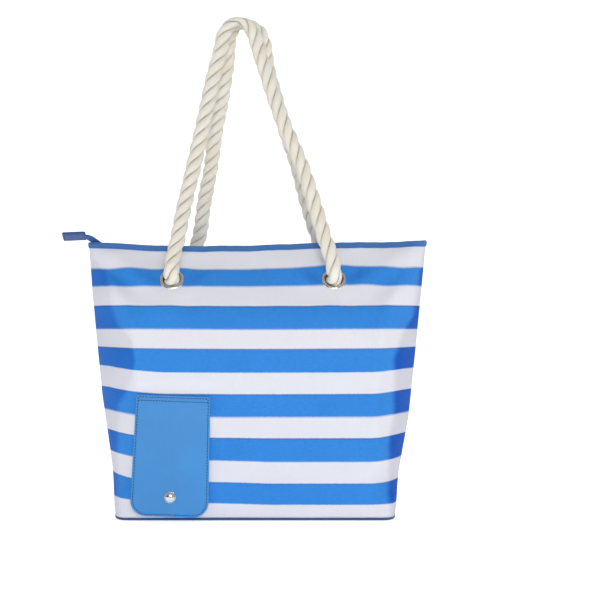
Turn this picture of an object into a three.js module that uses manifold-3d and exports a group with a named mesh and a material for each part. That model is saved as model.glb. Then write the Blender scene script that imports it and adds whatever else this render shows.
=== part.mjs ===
// A striped canvas beach bag: boxed base, zip top, two rope handles through eyelets, and a snap
// flap over the tap of an insulated drink compartment.
// Millimetres. +X is to the right seen from the front, +Y is to the back, +Z is up.
// The origin is on the ground under the middle of the base.
import * as THREE from "three";
import { mergeVertices } from "three/addons/utils/BufferGeometryUtils.js";
import Module from "manifold-3d";

const wasm = await Module();
wasm.setup();

// ---- driving dimensions -------------------------------------------------------------------

const BAG = {
  height: 363.5, // top of the binding at the middle of the mouth
  baseHalfWidth: 189,
  mouthHalfWidth: 228,
  halfDepth: 70,
  shoulder: 268, // height where the panels start to lean in to the mouth
  shoulderSoftness: 12,
  lean: 0.6, // how far a panel leans in for each millimetre of height
  hemTuck: 4, // how far the panels pull in where they meet the base
  hemHeight: 10,
  cornerLift: 6, // the corners of the mouth stand this much above its middle
};
const CLOTH = { panel: 2, lining: 1, gap: 0.3, seamGap: 0.15 };
const BASE = { panelTop: 4, boardTop: 6.9, liningFloor: 7.3 };
const BINDING = { height: 7.5, proud: 0.6, inner: 4.4 };
const ZIP = {
  level: 356, // height of the middle of the tape
  tape: 1,
  facingOuter: 12.2,
  hinge: 8.8, // from the zip's centre line out to where each half of the tape folds
  foldGap: 0.6,
  slot: 0.6, // half of the gap between the two rows of teeth
  teethOuter: 3.2,
  teethHeight: 2.6,
  halfLength: 176,
  endOuter: 200,
  sliderX: 187,
};
const ROPE = { radius: 10, sides: 10, steps: 44 };
const EYELET = { level: 315.9, bore: 11.5, outer: 16.5, hole: 12.9, rise: 1.2, jointOut: 13 };
const EYELET_X = { front: { left: -113.5, right: 102.5 }, back: { left: -101, right: 109 } };
const KNOT = { y: 21.5, z: 298, radii: [22, 19, 20] };
const FLAP = {
  hinge: [-108.5, -73.4, 153.5],
  turn: 2, // degrees, clockwise seen from the front
  tilt: 1.6, // degrees, the free end stands off the panel
  topHalf: 48.5,
  bottomHalf: 51.5,
  drop: 147.5,
  strip: 11,
  corner: 28,
  outer: 1.3,
  backing: 0.7,
  snapX: -1,
  snapDrop: 122,
};
const PORT = { x: -110.5, z: 96.5, bore: 25, outer: 32 };
const POCKET = { halfWidth: 150, front: -63.6, back: 15, floor: 9, top: 190, wall: 5, corner: 8 };
const POUCH = { halfWidth: 135, halfThick: 23, y: -18, bottom: 17, top: 179, seat: -33.9 };

// ---- materials ----------------------------------------------------------------------------

const finish = (colour, roughness, metalness = 0) =>
  new THREE.MeshStandardMaterial({ color: colour, roughness, metalness });
const FINISH = {
  canvas: finish(0x5f9fe0, 0.85),
  base: finish(0x3a5f9c, 0.85),
  lining: finish(0xd9dce2, 0.9),
  board: finish(0x30343a, 0.6),
  binding: finish(0x3f7fc8, 0.75),
  tape: finish(0x3a74bd, 0.8),
  teeth: finish(0x2f66ad, 0.45),
  nickel: finish(0xd9d6cf, 0.2, 1),
  rope: finish(0xe6dcc8, 0.95),
  leatherette: finish(0x4a90d2, 0.5),
  navy: finish(0x1f4178, 0.5),
  foam: finish(0xb9bdc4, 0.9),
  foil: finish(0xc9ccd1, 0.35, 0.6),
  film: finish(0xe4e8ec, 0.3),
  plastic: finish(0xf0f0ee, 0.35),
  button: finish(0xc8322c, 0.35),
};

const bag = new THREE.Group();

function place(name, geometry, material, parent = bag) {
  const mesh = new THREE.Mesh(geometry, material);
  mesh.name = name;
  parent.add(mesh);
  return mesh;
}

// ---- solids from points -------------------------------------------------------------------

// A closed body from its vertices and faces, turned to face out.
function closedBody(points, faces) {
  const volume = faces.reduce((sum, [a, b, c]) => {
    const cross = new THREE.Vector3().crossVectors(points[b], points[c]);
    return sum + points[a].dot(cross);
  }, 0);
  const turned = volume < 0 ? faces.map(([a, b, c]) => [a, c, b]) : faces;
  const geometry = new THREE.BufferGeometry().setFromPoints(points);
  return geometry.setIndex(turned.flat());
}

// A body skinned over a row of closed sections, with a flat cap on the first and the last.
function loft(sections) {
  const count = sections[0].length;
  const faces = [];
  for (let i = 0; i < sections.length - 1; i++) {
    for (let j = 0; j < count; j++) {
      const [a, b] = [i * count + j, i * count + ((j + 1) % count)];
      faces.push([a, b, a + count], [b, b + count, a + count]);
    }
  }
  const last = (sections.length - 1) * count;
  const flat = (section) => {
    const x = section.map((p) => new THREE.Vector2(p.x, p.y));
    const sameHeight = section.every((p) => Math.abs(p.z - section[0].z) < 1e-6);
    return sameHeight ? x : section.map((p) => new THREE.Vector2(p.y, p.z));
  };
  const cap = (section) => THREE.ShapeUtils.triangulateShape(flat(section), []);
  const bottom = cap(sections[0]);
  const top = cap(sections[sections.length - 1]);
  for (const [a, b, c] of bottom) faces.push([a, c, b]);
  for (const [a, b, c] of top) faces.push([a + last, b + last, c + last]);
  return closedBody(sections.flat(), faces);
}

// A thin body between two surfaces, each a function of u and v from 0 to 1.
function sheet(outer, inner, across, up) {
  const points = [];
  const faces = [];
  const row = across.length;
  const layer = row * up.length;
  for (const surface of [outer, inner]) {
    for (const v of up) for (const u of across) points.push(surface(u, v));
  }
  const quad = (a, b, c, d) => faces.push([a, b, d], [b, c, d]);
  for (let i = 0; i < up.length - 1; i++) {
    for (let j = 0; j < row - 1; j++) {
      const k = i * row + j;
      quad(k, k + 1, k + row + 1, k + row);
      quad(layer + k, layer + k + row, layer + k + row + 1, layer + k + 1);
    }
  }
  const rim = [];
  for (let j = 0; j < row; j++) rim.push(j);
  for (let i = 1; i < up.length; i++) rim.push(i * row + row - 1);
  for (let j = row - 2; j >= 0; j--) rim.push((up.length - 1) * row + j);
  for (let i = up.length - 2; i > 0; i--) rim.push(i * row);
  rim.forEach((a, i) => {
    const b = rim[(i + 1) % rim.length];
    quad(b, a, layer + a, layer + b);
  });
  return closedBody(points, faces);
}

const evenly = (count) => Array.from({ length: count + 1 }, (_, i) => i / count);

// ---- joining and cutting ------------------------------------------------------------------

function solid(geometry) {
  const bare = new THREE.BufferGeometry();
  const plain = geometry.index ? geometry.toNonIndexed() : geometry;
  bare.setAttribute("position", plain.getAttribute("position"));
  const merged = mergeVertices(bare, 1e-3);
  return new wasm.Manifold(
    new wasm.Mesh({
      numProp: 3,
      vertProperties: merged.attributes.position.array,
      triVerts: new Uint32Array(merged.index.array),
    }),
  );
}

function geometryOf(body) {
  const mesh = body.getMesh();
  const geometry = new THREE.BufferGeometry();
  const positions = new Float32Array(mesh.vertProperties);
  geometry.setAttribute("position", new THREE.BufferAttribute(positions, 3));
  return geometry.setIndex(new THREE.BufferAttribute(new Uint32Array(mesh.triVerts), 1));
}

const cut = (geometry, ...tools) =>
  geometryOf(tools.reduce((body, tool) => body.subtract(solid(tool)), solid(geometry)));
const join = (geometry, ...more) =>
  geometryOf(more.reduce((body, other) => body.add(solid(other)), solid(geometry)));

// A cylinder of a radius between two points.
function rod(radius, from, to, sides = 20) {
  const [a, b] = [new THREE.Vector3(...from), new THREE.Vector3(...to)];
  const along = b.clone().sub(a);
  const turn = new THREE.Quaternion().setFromUnitVectors(
    new THREE.Vector3(0, 1, 0),
    along.clone().normalize(),
  );
  const middle = a.add(b).multiplyScalar(0.5);
  return new THREE.CylinderGeometry(radius, radius, along.length(), sides)
    .applyQuaternion(turn)
    .translate(middle.x, middle.y, middle.z);
}

// A body turned about an axis, from a closed profile of [radius, height along the axis].
function turned(profile, segments = 24) {
  const points = [...profile, profile[0]].map(([r, h]) => new THREE.Vector2(r, h));
  const geometry = new THREE.LatheGeometry(points, segments);
  return solid(geometry).volume() < 0 ? inverted(geometry) : geometry;
}

function inverted(geometry) {
  const plain = geometry.clone();
  const index = Array.from(plain.index.array);
  for (let i = 0; i < index.length; i += 3) [index[i], index[i + 1]] = [index[i + 1], index[i]];
  return plain.setIndex(index);
}

const box = (low, high) => {
  const size = high.map((h, i) => h - low[i]);
  const middle = high.map((h, i) => (h + low[i]) / 2);
  return new THREE.BoxGeometry(...size).translate(...middle);
};

// ---- the bag's own shape ------------------------------------------------------------------

const mix = (a, b, t) => a + (b - a) * t;
const ease = (t) => {
  const c = Math.min(1, Math.max(0, t));
  return c * c * (3 - 2 * c);
};
const softplus = (t) => Math.log1p(Math.exp(t));

const halfWidth = (z) => mix(BAG.baseHalfWidth, BAG.mouthHalfWidth, z / BAG.height);

function halfDepth(z) {
  const lean = softplus((z - BAG.shoulder) / BAG.shoulderSoftness) * BAG.shoulderSoftness;
  return BAG.halfDepth - BAG.lean * lean - BAG.hemTuck * Math.exp(-z / BAG.hemHeight);
}

// The corner between the panel's flat front and its side seam: boxy at the base, a long soft
// bend half way up, and a short point at the mouth.
function cornerAt(z) {
  const share = z / BAG.height;
  const [low, high] = [ease(share / 0.5), ease((share - 0.7) / 0.3)];
  return {
    reach: mix(mix(24, 55, low), 22, high),
    flat: mix(mix(3, 1.7, low), 1.5, high),
    round: mix(mix(4, 1.3, low), 1, high),
  };
}

const CORNER_STEPS = 7;
const FLAT_STEPS = 6;

// Points [x, y] along the front half of the bag's outline at a height, from seam to seam.
function frontOutline(z, inset) {
  const [width, depth] = [halfWidth(z) - inset, halfDepth(z) - inset];
  const { reach, flat, round } = cornerAt(z);
  const dense = evenly(60).map((t) => {
    const s = 1 - (1 - t) ** 3;
    return [width - reach + reach * s, -depth * (1 - s ** flat) ** (1 / round)];
  });
  const lengths = [0];
  for (let i = 1; i < dense.length; i++) {
    const [dx, dy] = [dense[i][0] - dense[i - 1][0], dense[i][1] - dense[i - 1][1]];
    lengths.push(lengths[i - 1] + Math.hypot(dx, dy));
  }
  const corner = evenly(CORNER_STEPS).map((t) => {
    const want = t * lengths[lengths.length - 1];
    const i = Math.max(1, lengths.findIndex((length) => length >= want - 1e-9));
    const f = (want - lengths[i - 1]) / (lengths[i] - lengths[i - 1]);
    return [mix(dense[i - 1][0], dense[i][0], f), mix(dense[i - 1][1], dense[i][1], f)];
  });
  const left = corner.map(([x, y]) => [-x, y]).reverse();
  const edge = width - reach;
  const middle = evenly(FLAT_STEPS)
    .slice(1, -1)
    .map((t) => [mix(-edge, edge, t), -depth]);
  return [...left, ...middle, ...corner];
}

const lift = (x, z) => BAG.cornerLift * (x / BAG.mouthHalfWidth) ** 2 * (z / BAG.height) ** 2;

// The whole outline at a height, as one closed section that stands at a level of its own.
function outlineSection(z, inset, level = z) {
  const front = frontOutline(z, inset);
  const back = front
    .slice(1, -1)
    .reverse()
    .map(([x, y]) => [x, -y]);
  return [...front, ...back].map(([x, y]) => new THREE.Vector3(x, y, level));
}

function liftedSection(z, inset) {
  const section = outlineSection(z, inset);
  section.forEach((p) => (p.z += lift(p.x, z)));
  return section;
}

// A surface of the front (side -1) or back (side 1) half between two heights.
function panelSurface(side, inset, levels) {
  const rows = levels.map((z) => frontOutline(z, inset));
  return (u, v) => {
    const [x, y] = rows[v][u];
    const depth = Math.max(-y, CLOTH.seamGap);
    return new THREE.Vector3(x, side * depth, levels[v] + lift(x, levels[v]));
  };
}

function panelSheet(side, outerInset, innerInset, levels) {
  const across = frontOutline(0, 0).map((_, i) => i);
  if (side > 0) across.reverse();
  const up = levels.map((_, i) => i);
  return sheet(
    panelSurface(side, outerInset, levels),
    panelSurface(side, innerInset, levels),
    across,
    up,
  );
}

// ---- eyelets, and the frame that each one sits in -----------------------------------------

const eyeletSlope = (halfDepth(EYELET.level + 1) - halfDepth(EYELET.level - 1)) / 2;

// A point at a distance out from the panel's face, on the eyelet's own axis.
function eyeletPoint(side, x, out) {
  const length = Math.hypot(1, eyeletSlope);
  const [ny, nz] = [side / length, -eyeletSlope / length];
  const y = side * halfDepth(EYELET.level);
  return [x, y + ny * out, EYELET.level + EYELET.rise + nz * out];
}

// Moves a body that stands on the Y axis on to the eyelet's axis, +Y pointing out of the bag.
function onEyelet(geometry, side, x) {
  const [face, out] = [eyeletPoint(side, x, 0), eyeletPoint(side, x, 1)];
  const normal = new THREE.Vector3(...out.map((c, i) => c - face[i]));
  const turn = new THREE.Quaternion().setFromUnitVectors(new THREE.Vector3(0, 1, 0), normal);
  return geometry.applyQuaternion(turn).translate(...face);
}

const eyeletSpots = [];
for (const [face, side] of [["front", -1], ["back", 1]]) {
  for (const [hand, x] of Object.entries(EYELET_X[face])) eyeletSpots.push({ face, side, hand, x });
}

const eyeletHoles = (wanted) =>
  eyeletSpots
    .filter(({ face }) => !wanted || face === wanted)
    .map(({ side, x }) =>
      rod(EYELET.hole, eyeletPoint(side, x, 12), eyeletPoint(side, x, -12), 24),
    );

function makeEyelets() {
  const grommet = [
    [EYELET.bore, -5.2],
    [EYELET.bore, 1.2],
    [12.2, 2],
    [14, 2.3],
    [15.8, 1.7],
    [EYELET.outer, CLOTH.gap],
    [12.5, CLOTH.gap],
    [12.5, -4.6],
    [13.8, -4.8],
    [13.2, -5.5],
  ];
  const washer = [
    [12.9, -4.3],
    [12.9, -3.3],
    [EYELET.outer, -3.3],
    [EYELET.outer, -4.3],
  ];
  for (const { face, side, hand, x } of eyeletSpots) {
    place(`eyelet_${face}_${hand}`, onEyelet(turned(grommet), side, x), FINISH.nickel);
    place(`eyelet_washer_${face}_${hand}`, onEyelet(turned(washer), side, x), FINISH.nickel);
  }
}

// ---- body of the bag ----------------------------------------------------------------------

const portHole = () => rod(PORT.bore + 1.4, [PORT.x, -80, PORT.z], [PORT.x, -61.5, PORT.z], 32);
const flapFrame = new THREE.Group();
flapFrame.position.set(...FLAP.hinge);
flapFrame.rotation.set(
  THREE.MathUtils.degToRad(-FLAP.tilt),
  THREE.MathUtils.degToRad(FLAP.turn),
  0,
  "YXZ",
);
flapFrame.updateMatrixWorld(true);
const snapSpot = new THREE.Vector3(FLAP.snapX, 0, -FLAP.snapDrop).applyMatrix4(flapFrame.matrixWorld);
const studHole = () => rod(2.1, [snapSpot.x, -80, snapSpot.z], [snapSpot.x, -61.5, snapSpot.z], 12);

function makeBody() {
  const levels = [4.3, 12, 24, 60, 110, 160, 205, 235, 255, 270, 285, 300, 318, 336, 355.7];
  const canvas = (side) => panelSheet(side, 0, CLOTH.panel, levels);
  const front = cut(canvas(-1), ...eyeletHoles("front"), portHole(), studHole());
  place("front_panel", front, FINISH.canvas);
  place("back_panel", cut(canvas(1), ...eyeletHoles("back")), FINISH.canvas);

  const basePanel = [
    outlineSection(2, 3, 0),
    outlineSection(2, 0.6, 1.6),
    outlineSection(4, 0, BASE.panelTop),
  ];
  place("base_panel", loft(basePanel), FINISH.base);
  const board = [BASE.panelTop + CLOTH.gap, BASE.boardTop].map((z) => outlineSection(4, 4, z));
  place("base_board", loft(board), FINISH.board);

  const outerInset = CLOTH.panel + CLOTH.gap;
  const innerInset = outerInset + CLOTH.lining;
  const liningLevels = levels.slice(1, -1);
  const floor = BASE.liningFloor;
  const sections = [
    outlineSection(floor, outerInset + 1, floor),
    ...liningLevels.map((z) => liftedSection(z, outerInset)),
    ...liningLevels.reverse().map((z) => liftedSection(z, innerInset)),
    outlineSection(floor + CLOTH.lining, innerInset + 1, floor + CLOTH.lining),
  ];
  const lining = cut(loft(sections), ...eyeletHoles(), portHole(), studHole());
  place("lining", lining, FINISH.lining);
}

function makeBinding(name, side) {
  const across = frontOutline(BAG.height, 0).map((_, i) => i);
  const levels = [BAG.height - BINDING.height, BAG.height];
  const outer = panelSurface(side, -BINDING.proud, levels);
  const inner = panelSurface(side, BINDING.inner, levels);
  place(name, sheet(outer, inner, across, [0, 1]), FINISH.binding);
}

// ---- zip ----------------------------------------------------------------------------------

function makeZipHalf(name, side) {
  const [low, high] = [ZIP.level - ZIP.tape / 2, ZIP.level + ZIP.tape / 2];
  const strip = (inner, outer, from, to, reach) => {
    const [y0, y1] = [side * inner, side * outer].sort((a, b) => a - b);
    return box([-reach, y0, from], [reach, y1, to]);
  };
  const facing = strip(ZIP.hinge + ZIP.foldGap, ZIP.facingOuter, low, high, ZIP.halfLength);
  place(`zip_facing_${name}`, facing, FINISH.tape);
  const tapeInner = ZIP.teethOuter + CLOTH.gap;
  const tape = strip(tapeInner, ZIP.hinge - CLOTH.gap, low, high, ZIP.halfLength);
  place(`zip_tape_${name}`, tape, FINISH.tape);
  const [under, over] = [ZIP.level - ZIP.teethHeight / 2, ZIP.level + ZIP.teethHeight / 2];
  const teeth = strip(ZIP.slot, ZIP.teethOuter, under, over, ZIP.halfLength);
  place(`zip_teeth_${name}`, teeth, FINISH.teeth);
}

// The closed end of the tape, slotted so that the slider can park over it.
function makeZipEnd(name, side) {
  const [near, far] = [ZIP.halfLength + 1, ZIP.endOuter];
  const order = (a, b) => [side * a, side * b].sort((p, q) => p - q);
  const [x0, x1] = order(near, far);
  const [s0, s1] = order(near - 1, far - 2.5);
  const width = ZIP.hinge - CLOTH.gap;
  const [low, high] = [ZIP.level - ZIP.tape / 2, ZIP.level + ZIP.tape / 2];
  const patch = box([x0, -width, low], [x1, width, high]);
  const slot = box([s0, -ZIP.slot, low - 1], [s1, ZIP.slot, high + 1]);
  place(`zip_end_${name}`, cut(patch, slot), FINISH.tape);
  const [t0, t1] = order(far - 2, far - 0.4);
  const stop = box([t0, -3.5, high + CLOTH.gap], [t1, 3.5, high + 1.6]);
  place(`zip_stop_${name}`, stop, FINISH.nickel);
}

function makeSlider() {
  const [x, z] = [ZIP.sliderX, ZIP.level];
  const plate = (y0, y1, z0, z1) => box([x - 8, y0, z0], [x + 8, y1, z1]);
  const lip = (side) => {
    const [y0, y1] = [side * 3.6, side * 4.3].sort((a, b) => a - b);
    return plate(y0, y1, z + 0.9, z + 2.2);
  };
  const post = box([x - 5, -0.3, z - 2], [x + 5, 0.3, z + 2]);
  const slider = join(
    plate(-4.3, 4.3, z + 1.7, z + 2.9),
    plate(-4.3, 4.3, z - 2.9, z - 1.7),
    post,
    lip(-1),
    lip(1),
    box([x - 6, -1.2, z + 2.8], [x - 4.6, 1.2, z + 5.2]),
    box([x + 0.4, -1.2, z + 2.8], [x + 1.8, 1.2, z + 5.2]),
    box([x - 6, -1.2, z + 4.6], [x + 1.8, 1.2, z + 5.4]),
  );
  place("zip_slider", slider, FINISH.nickel);
  // The pull's eye hangs on the slider's loop, and its leaf lies along the zip.
  const leaf = new THREE.Shape();
  leaf.moveTo(-3.2, -3.2);
  leaf.lineTo(15, -3.6);
  leaf.absarc(17, 0, 3.6, -Math.PI / 2, Math.PI / 2, false);
  leaf.lineTo(-3.2, 3.2);
  leaf.closePath();
  const eye = new THREE.Path();
  eye.moveTo(-2, -1.9);
  eye.lineTo(-2, 1.9);
  eye.lineTo(4.6, 1.9);
  eye.lineTo(4.6, -1.9);
  eye.closePath();
  leaf.holes.push(eye);
  const pull = new THREE.ExtrudeGeometry(leaf, { depth: 1, bevelEnabled: false, curveSegments: 6 });
  place("zip_pull", pull.translate(x - 1, 0, z + 3.3), FINISH.nickel);
}

function makeZipTail() {
  const line = [
    [-200.6, 358],
    [-203, 363.5],
    [-206.5, 369.4],
    [-213, 370.9],
    [-229.5, 371.6],
  ];
  const half = 4.6;
  const section = ([x, z], i) => {
    const [px, pz] = line[Math.max(0, i - 1)];
    const [nx, nz] = line[Math.min(line.length - 1, i + 1)];
    const length = Math.hypot(nx - px, nz - pz);
    const [ox, oz] = [(-(nz - pz) / length) * 0.6, ((nx - px) / length) * 0.6];
    return [
      new THREE.Vector3(x - ox, -half, z - oz),
      new THREE.Vector3(x + ox, -half, z + oz),
      new THREE.Vector3(x + ox, half, z + oz),
      new THREE.Vector3(x - ox, half, z - oz),
    ];
  };
  place("zip_tail_tape", loft(line.map(section)), FINISH.tape);
  const tab = box([-32, -11, -2], [0, 11, 2]);
  const mesh = place("zip_end_tab", tab, FINISH.navy);
  mesh.position.set(-232.5, 0, 373);
  mesh.rotation.x = THREE.MathUtils.degToRad(25);
}

// ---- rope handles -------------------------------------------------------------------------

const ROUTES = {
  front: [
    [-112, -51.5, 341],
    [-105.5, -47.5, 370],
    [-97.5, -41.5, 412],
    [-85, -34.5, 466],
    [-71, -26.5, 531],
    [-57, -18.5, 597],
    [-48.8, -13.8, 629],
    [-46.5, -12.2, 642],
    [-42, -11, 654.5],
    [-34.5, -10.6, 663],
    [-25, -10.6, 666.5],
    [-15.5, -10.6, 663.5],
    [-7.5, -11, 654.5],
    [-1.5, -12.2, 642],
    [2, -13.8, 629],
    [11.5, -18.5, 599],
    [20, -21.5, 572],
    [34, -26.5, 531],
    [61, -34.5, 466],
    [78, -41.5, 412],
    [90.5, -47.5, 370],
    [100, -51.5, 341],
  ],
  back: [
    [-96, 51.5, 341],
    [-81.5, 47.5, 373],
    [-72.5, 40, 428],
    [-63.8, 34, 472],
    [-58, 28.5, 515],
    [-47.5, 21.5, 570],
    [-41, 16, 610],
    [-39.2, 13, 632],
    [-38.2, 11.8, 645],
    [-34.5, 11, 656.5],
    [-27, 10.6, 664],
    [-16, 10.6, 666.5],
    [-7, 10.6, 664.5],
    [0, 11, 659.5],
    [6, 11.5, 651],
    [9.5, 12.3, 640],
    [11.5, 13.2, 630],
    [15, 16, 607],
    [25.5, 21.5, 570],
    [42, 28.5, 515],
    [56.5, 34, 472],
    [68, 40, 428],
    [86, 47.5, 373],
    [104, 51.5, 341],
  ],
};

function makeHandle(face, side) {
  const ends = ["left", "right"].map((hand) =>
    eyeletPoint(side, EYELET_X[face][hand], EYELET.jointOut),
  );
  const route = [ends[0], ...ROUTES[face], ends[1]].map((p) => new THREE.Vector3(...p));
  const section = new THREE.Shape();
  for (let i = 0; i < ROPE.sides; i++) {
    const angle = (i / ROPE.sides) * 2 * Math.PI;
    const [x, y] = [ROPE.radius * Math.cos(angle), ROPE.radius * Math.sin(angle)];
    if (i) section.lineTo(x, y);
    else section.moveTo(x, y);
  }
  section.closePath();
  const tube = new THREE.ExtrudeGeometry(section, {
    steps: ROPE.steps,
    extrudePath: new THREE.CatmullRomCurve3(route),
  });
  const knuckles = ends.map((end) =>
    new THREE.SphereGeometry(ROPE.radius, 12, 8).translate(...end),
  );
  place(`${face}_rope_handle`, join(tube, ...knuckles), FINISH.rope);
}

// The end of a rope: it comes in through its eyelet and is stopped by a knot.
function makeKnots() {
  for (const { face, side, hand, x } of eyeletSpots) {
    const inlet = rod(ROPE.radius, eyeletPoint(side, x, 2.4), eyeletPoint(side, x, -15), 14);
    const knot = new THREE.SphereGeometry(1, 16, 10)
      .scale(...KNOT.radii)
      .translate(x, side * KNOT.y, KNOT.z);
    place(`rope_knot_${face}_${hand}`, join(inlet, knot), FINISH.rope);
  }
}

// ---- flap and snap ------------------------------------------------------------------------

// The flap's outline below its hinge, in its own frame, x across and y up.
function flapShape(inset) {
  const shape = new THREE.Shape();
  const [top, low] = [FLAP.topHalf - inset, FLAP.bottomHalf - inset];
  const bottom = -FLAP.drop + inset;
  const r = FLAP.corner - inset;
  shape.moveTo(-top, -0.4);
  shape.lineTo(-low, bottom + r);
  shape.absarc(-low + r, bottom + r, r, Math.PI, 1.5 * Math.PI, false);
  shape.absarc(low - r, bottom + r, r, 1.5 * Math.PI, 2 * Math.PI, false);
  shape.lineTo(top, -0.4);
  shape.closePath();
  return shape;
}

// Extrudes an outline of x and z, from one depth to another along +Y.
function slab(shape, from, to, curveSegments = 8) {
  const options = { depth: to - from, bevelEnabled: false, curveSegments };
  return new THREE.ExtrudeGeometry(shape, options)
    .rotateX(Math.PI / 2)
    .translate(0, to, 0);
}

function makeFlap() {
  bag.add(flapFrame);
  const skin = 0.15;
  const outerBack = skin + FLAP.outer;
  const backingFront = outerBack + CLOTH.gap;
  const backingBack = backingFront + FLAP.backing;
  const hole = rod(2.1, [FLAP.snapX, -5, -FLAP.snapDrop], [FLAP.snapX, 8, -FLAP.snapDrop], 12);
  const outer = cut(slab(flapShape(0), skin, outerBack), hole);
  place("flap_outer", outer, FINISH.leatherette, flapFrame);
  const backing = cut(slab(flapShape(1), backingFront, backingBack), hole);
  place("flap_backing", backing, FINISH.lining, flapFrame);

  const cap = [
    [0, -2.7],
    [3.5, -2.5],
    [6, -1.7],
    [7.6, -0.15],
    [1.8, -0.15],
    [1.8, 3.2],
    [0, 3.2],
  ];
  const socket = [
    [2.1, 2.75],
    [6.2, 2.75],
    [6.2, 4.8],
    [3.7, 4.8],
    [3.7, 3.5],
    [2.1, 3.5],
  ];
  const atSnap = (geometry) => geometry.translate(FLAP.snapX, 0, -FLAP.snapDrop);
  place("snap_cap", atSnap(turned(cap, 20)), FINISH.nickel, flapFrame);
  place("snap_socket", atSnap(turned(socket, 20)), FINISH.nickel, flapFrame);

  // The sewn edge of the flap stays on the panel, above the fold.
  const half = FLAP.topHalf;
  const strip = box([-half, 0, 0.4], [half, 3.1, FLAP.strip]);
  const mesh = place("flap_hinge_strip", strip, FINISH.leatherette);
  mesh.position.set(...FLAP.hinge);
  mesh.rotation.y = THREE.MathUtils.degToRad(FLAP.turn);
}

function makeStud() {
  const face = -halfDepth(snapSpot.z);
  const stud = [
    [0, face - 2.5],
    [2.6, face - 2.5],
    [3.2, face - 1.9],
    [2.6, face - 1.3],
    [2.8, face - 1.1],
    [6, face - 0.9],
    [6, face - 0.3],
    [1.8, face - 0.3],
    [1.8, face + 3.6],
    [0, face + 3.6],
  ];
  const back = [
    [0, face + 3.9],
    [0, face + 4.6],
    [6, face + 4.6],
    [6, face + 3.6],
    [2.2, face + 3.6],
    [2.2, face + 3.9],
  ];
  const atStud = (geometry) => geometry.translate(snapSpot.x, 0, snapSpot.z);
  place("snap_stud", atStud(turned(stud, 16)), FINISH.nickel);
  place("snap_stud_back", atStud(turned(back, 16)), FINISH.nickel);
}

// ---- tap port, pocket, pouch and tap ------------------------------------------------------

const atPort = (geometry) => geometry.translate(PORT.x, 0, PORT.z);

function makePortRings() {
  const face = -BAG.halfDepth;
  const ring = [
    [PORT.bore, face + 5.2],
    [PORT.bore, face - 0.8],
    [PORT.bore + 1, face - 1.1],
    [PORT.outer - 1.5, face - 1.1],
    [PORT.outer, face - CLOTH.gap],
    [PORT.bore + 1, face - CLOTH.gap],
    [PORT.bore + 1, face + 5.2],
  ];
  const back = [
    [PORT.bore + 1.4, face + 3.7],
    [PORT.bore + 1.4, face + 4.9],
    [PORT.outer, face + 4.9],
    [PORT.outer, face + 3.7],
  ];
  place("port_ring", atPort(turned(ring, 32)), FINISH.nickel);
  place("port_ring_back", atPort(turned(back, 32)), FINISH.nickel);
}

// A rounded rectangle at a height, as a closed section.
function roundedSection(halfX, front, back, corner, z) {
  const points = [];
  const middle = (front + back) / 2;
  const halfY = (back - front) / 2;
  for (const [sx, sy, from] of [[1, 1, 0], [-1, 1, 1], [-1, -1, 2], [1, -1, 3]]) {
    for (const t of evenly(3)) {
      const angle = (from + t) * (Math.PI / 2);
      const x = sx * (halfX - corner) + corner * Math.cos(angle);
      const y = middle + sy * (halfY - corner) + corner * Math.sin(angle);
      points.push(new THREE.Vector3(x, y, z));
    }
  }
  return points;
}

// An open-topped tub with rounded corners.
function tub(halfX, front, back, corner, floor, top, wall) {
  const inside = (z) =>
    roundedSection(halfX - wall, front + wall, back - wall, Math.max(1, corner - wall), z);
  const outside = (z) => roundedSection(halfX, front, back, corner, z);
  return loft([outside(floor), outside(top), inside(top), inside(floor + wall)]);
}

function makePocket() {
  const { halfWidth: half, front, back, floor, top, wall, corner } = POCKET;
  const portCut = rod(27, [PORT.x, -70, PORT.z], [PORT.x, -52, PORT.z], 28);
  const foam = cut(tub(half, front, back, corner, floor, top, wall), portCut);
  place("pocket_foam", foam, FINISH.foam);
  const inset = wall + 0.4;
  const foil = tub(half - inset, front + inset, back - inset, 4, floor + inset, top - 0.5, 1);
  place("pocket_foil", cut(foil, portCut), FINISH.foil);
  const lid = [top + 0.5, top + 4.5].map((z) =>
    roundedSection(half - 1, front + 0.7, back - 0.5, corner - 1, z),
  );
  place("pocket_lid", loft(lid), FINISH.foam);
  place("lid_pull_tab", box([-12, -58, top + 4.8], [12, -30, top + 6.2]), FINISH.tape);
}

function makePouch() {
  const { halfWidth: half, halfThick, y, bottom, top } = POUCH;
  const [middle, reach] = [(bottom + top) / 2, (top - bottom) / 2];
  const around = 28;
  const section = (share) => {
    const rise = Math.abs(share);
    const width = half * (1 - 0.06 * rise ** 6);
    const thick = Math.max(1, halfThick * (1 - rise ** 3) ** 0.6);
    return Array.from({ length: around }, (_, i) => {
      const angle = (i / around) * 2 * Math.PI;
      const [c, s] = [Math.cos(angle), Math.sin(angle)];
      const px = width * Math.sign(c) * Math.abs(c) ** 0.6;
      const py = y + thick * Math.sign(s) * Math.abs(s) ** 0.8;
      return new THREE.Vector3(px, py, middle + reach * share);
    });
  };
  const body = loft([-1, -0.92, -0.75, -0.4, 0, 0.4, 0.75, 0.92, 1].map(section));
  const seat = rod(18, [PORT.x, -60, PORT.z], [PORT.x, POUCH.seat, PORT.z], 24);
  place("drink_pouch", cut(body, seat), FINISH.film);
}

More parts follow.
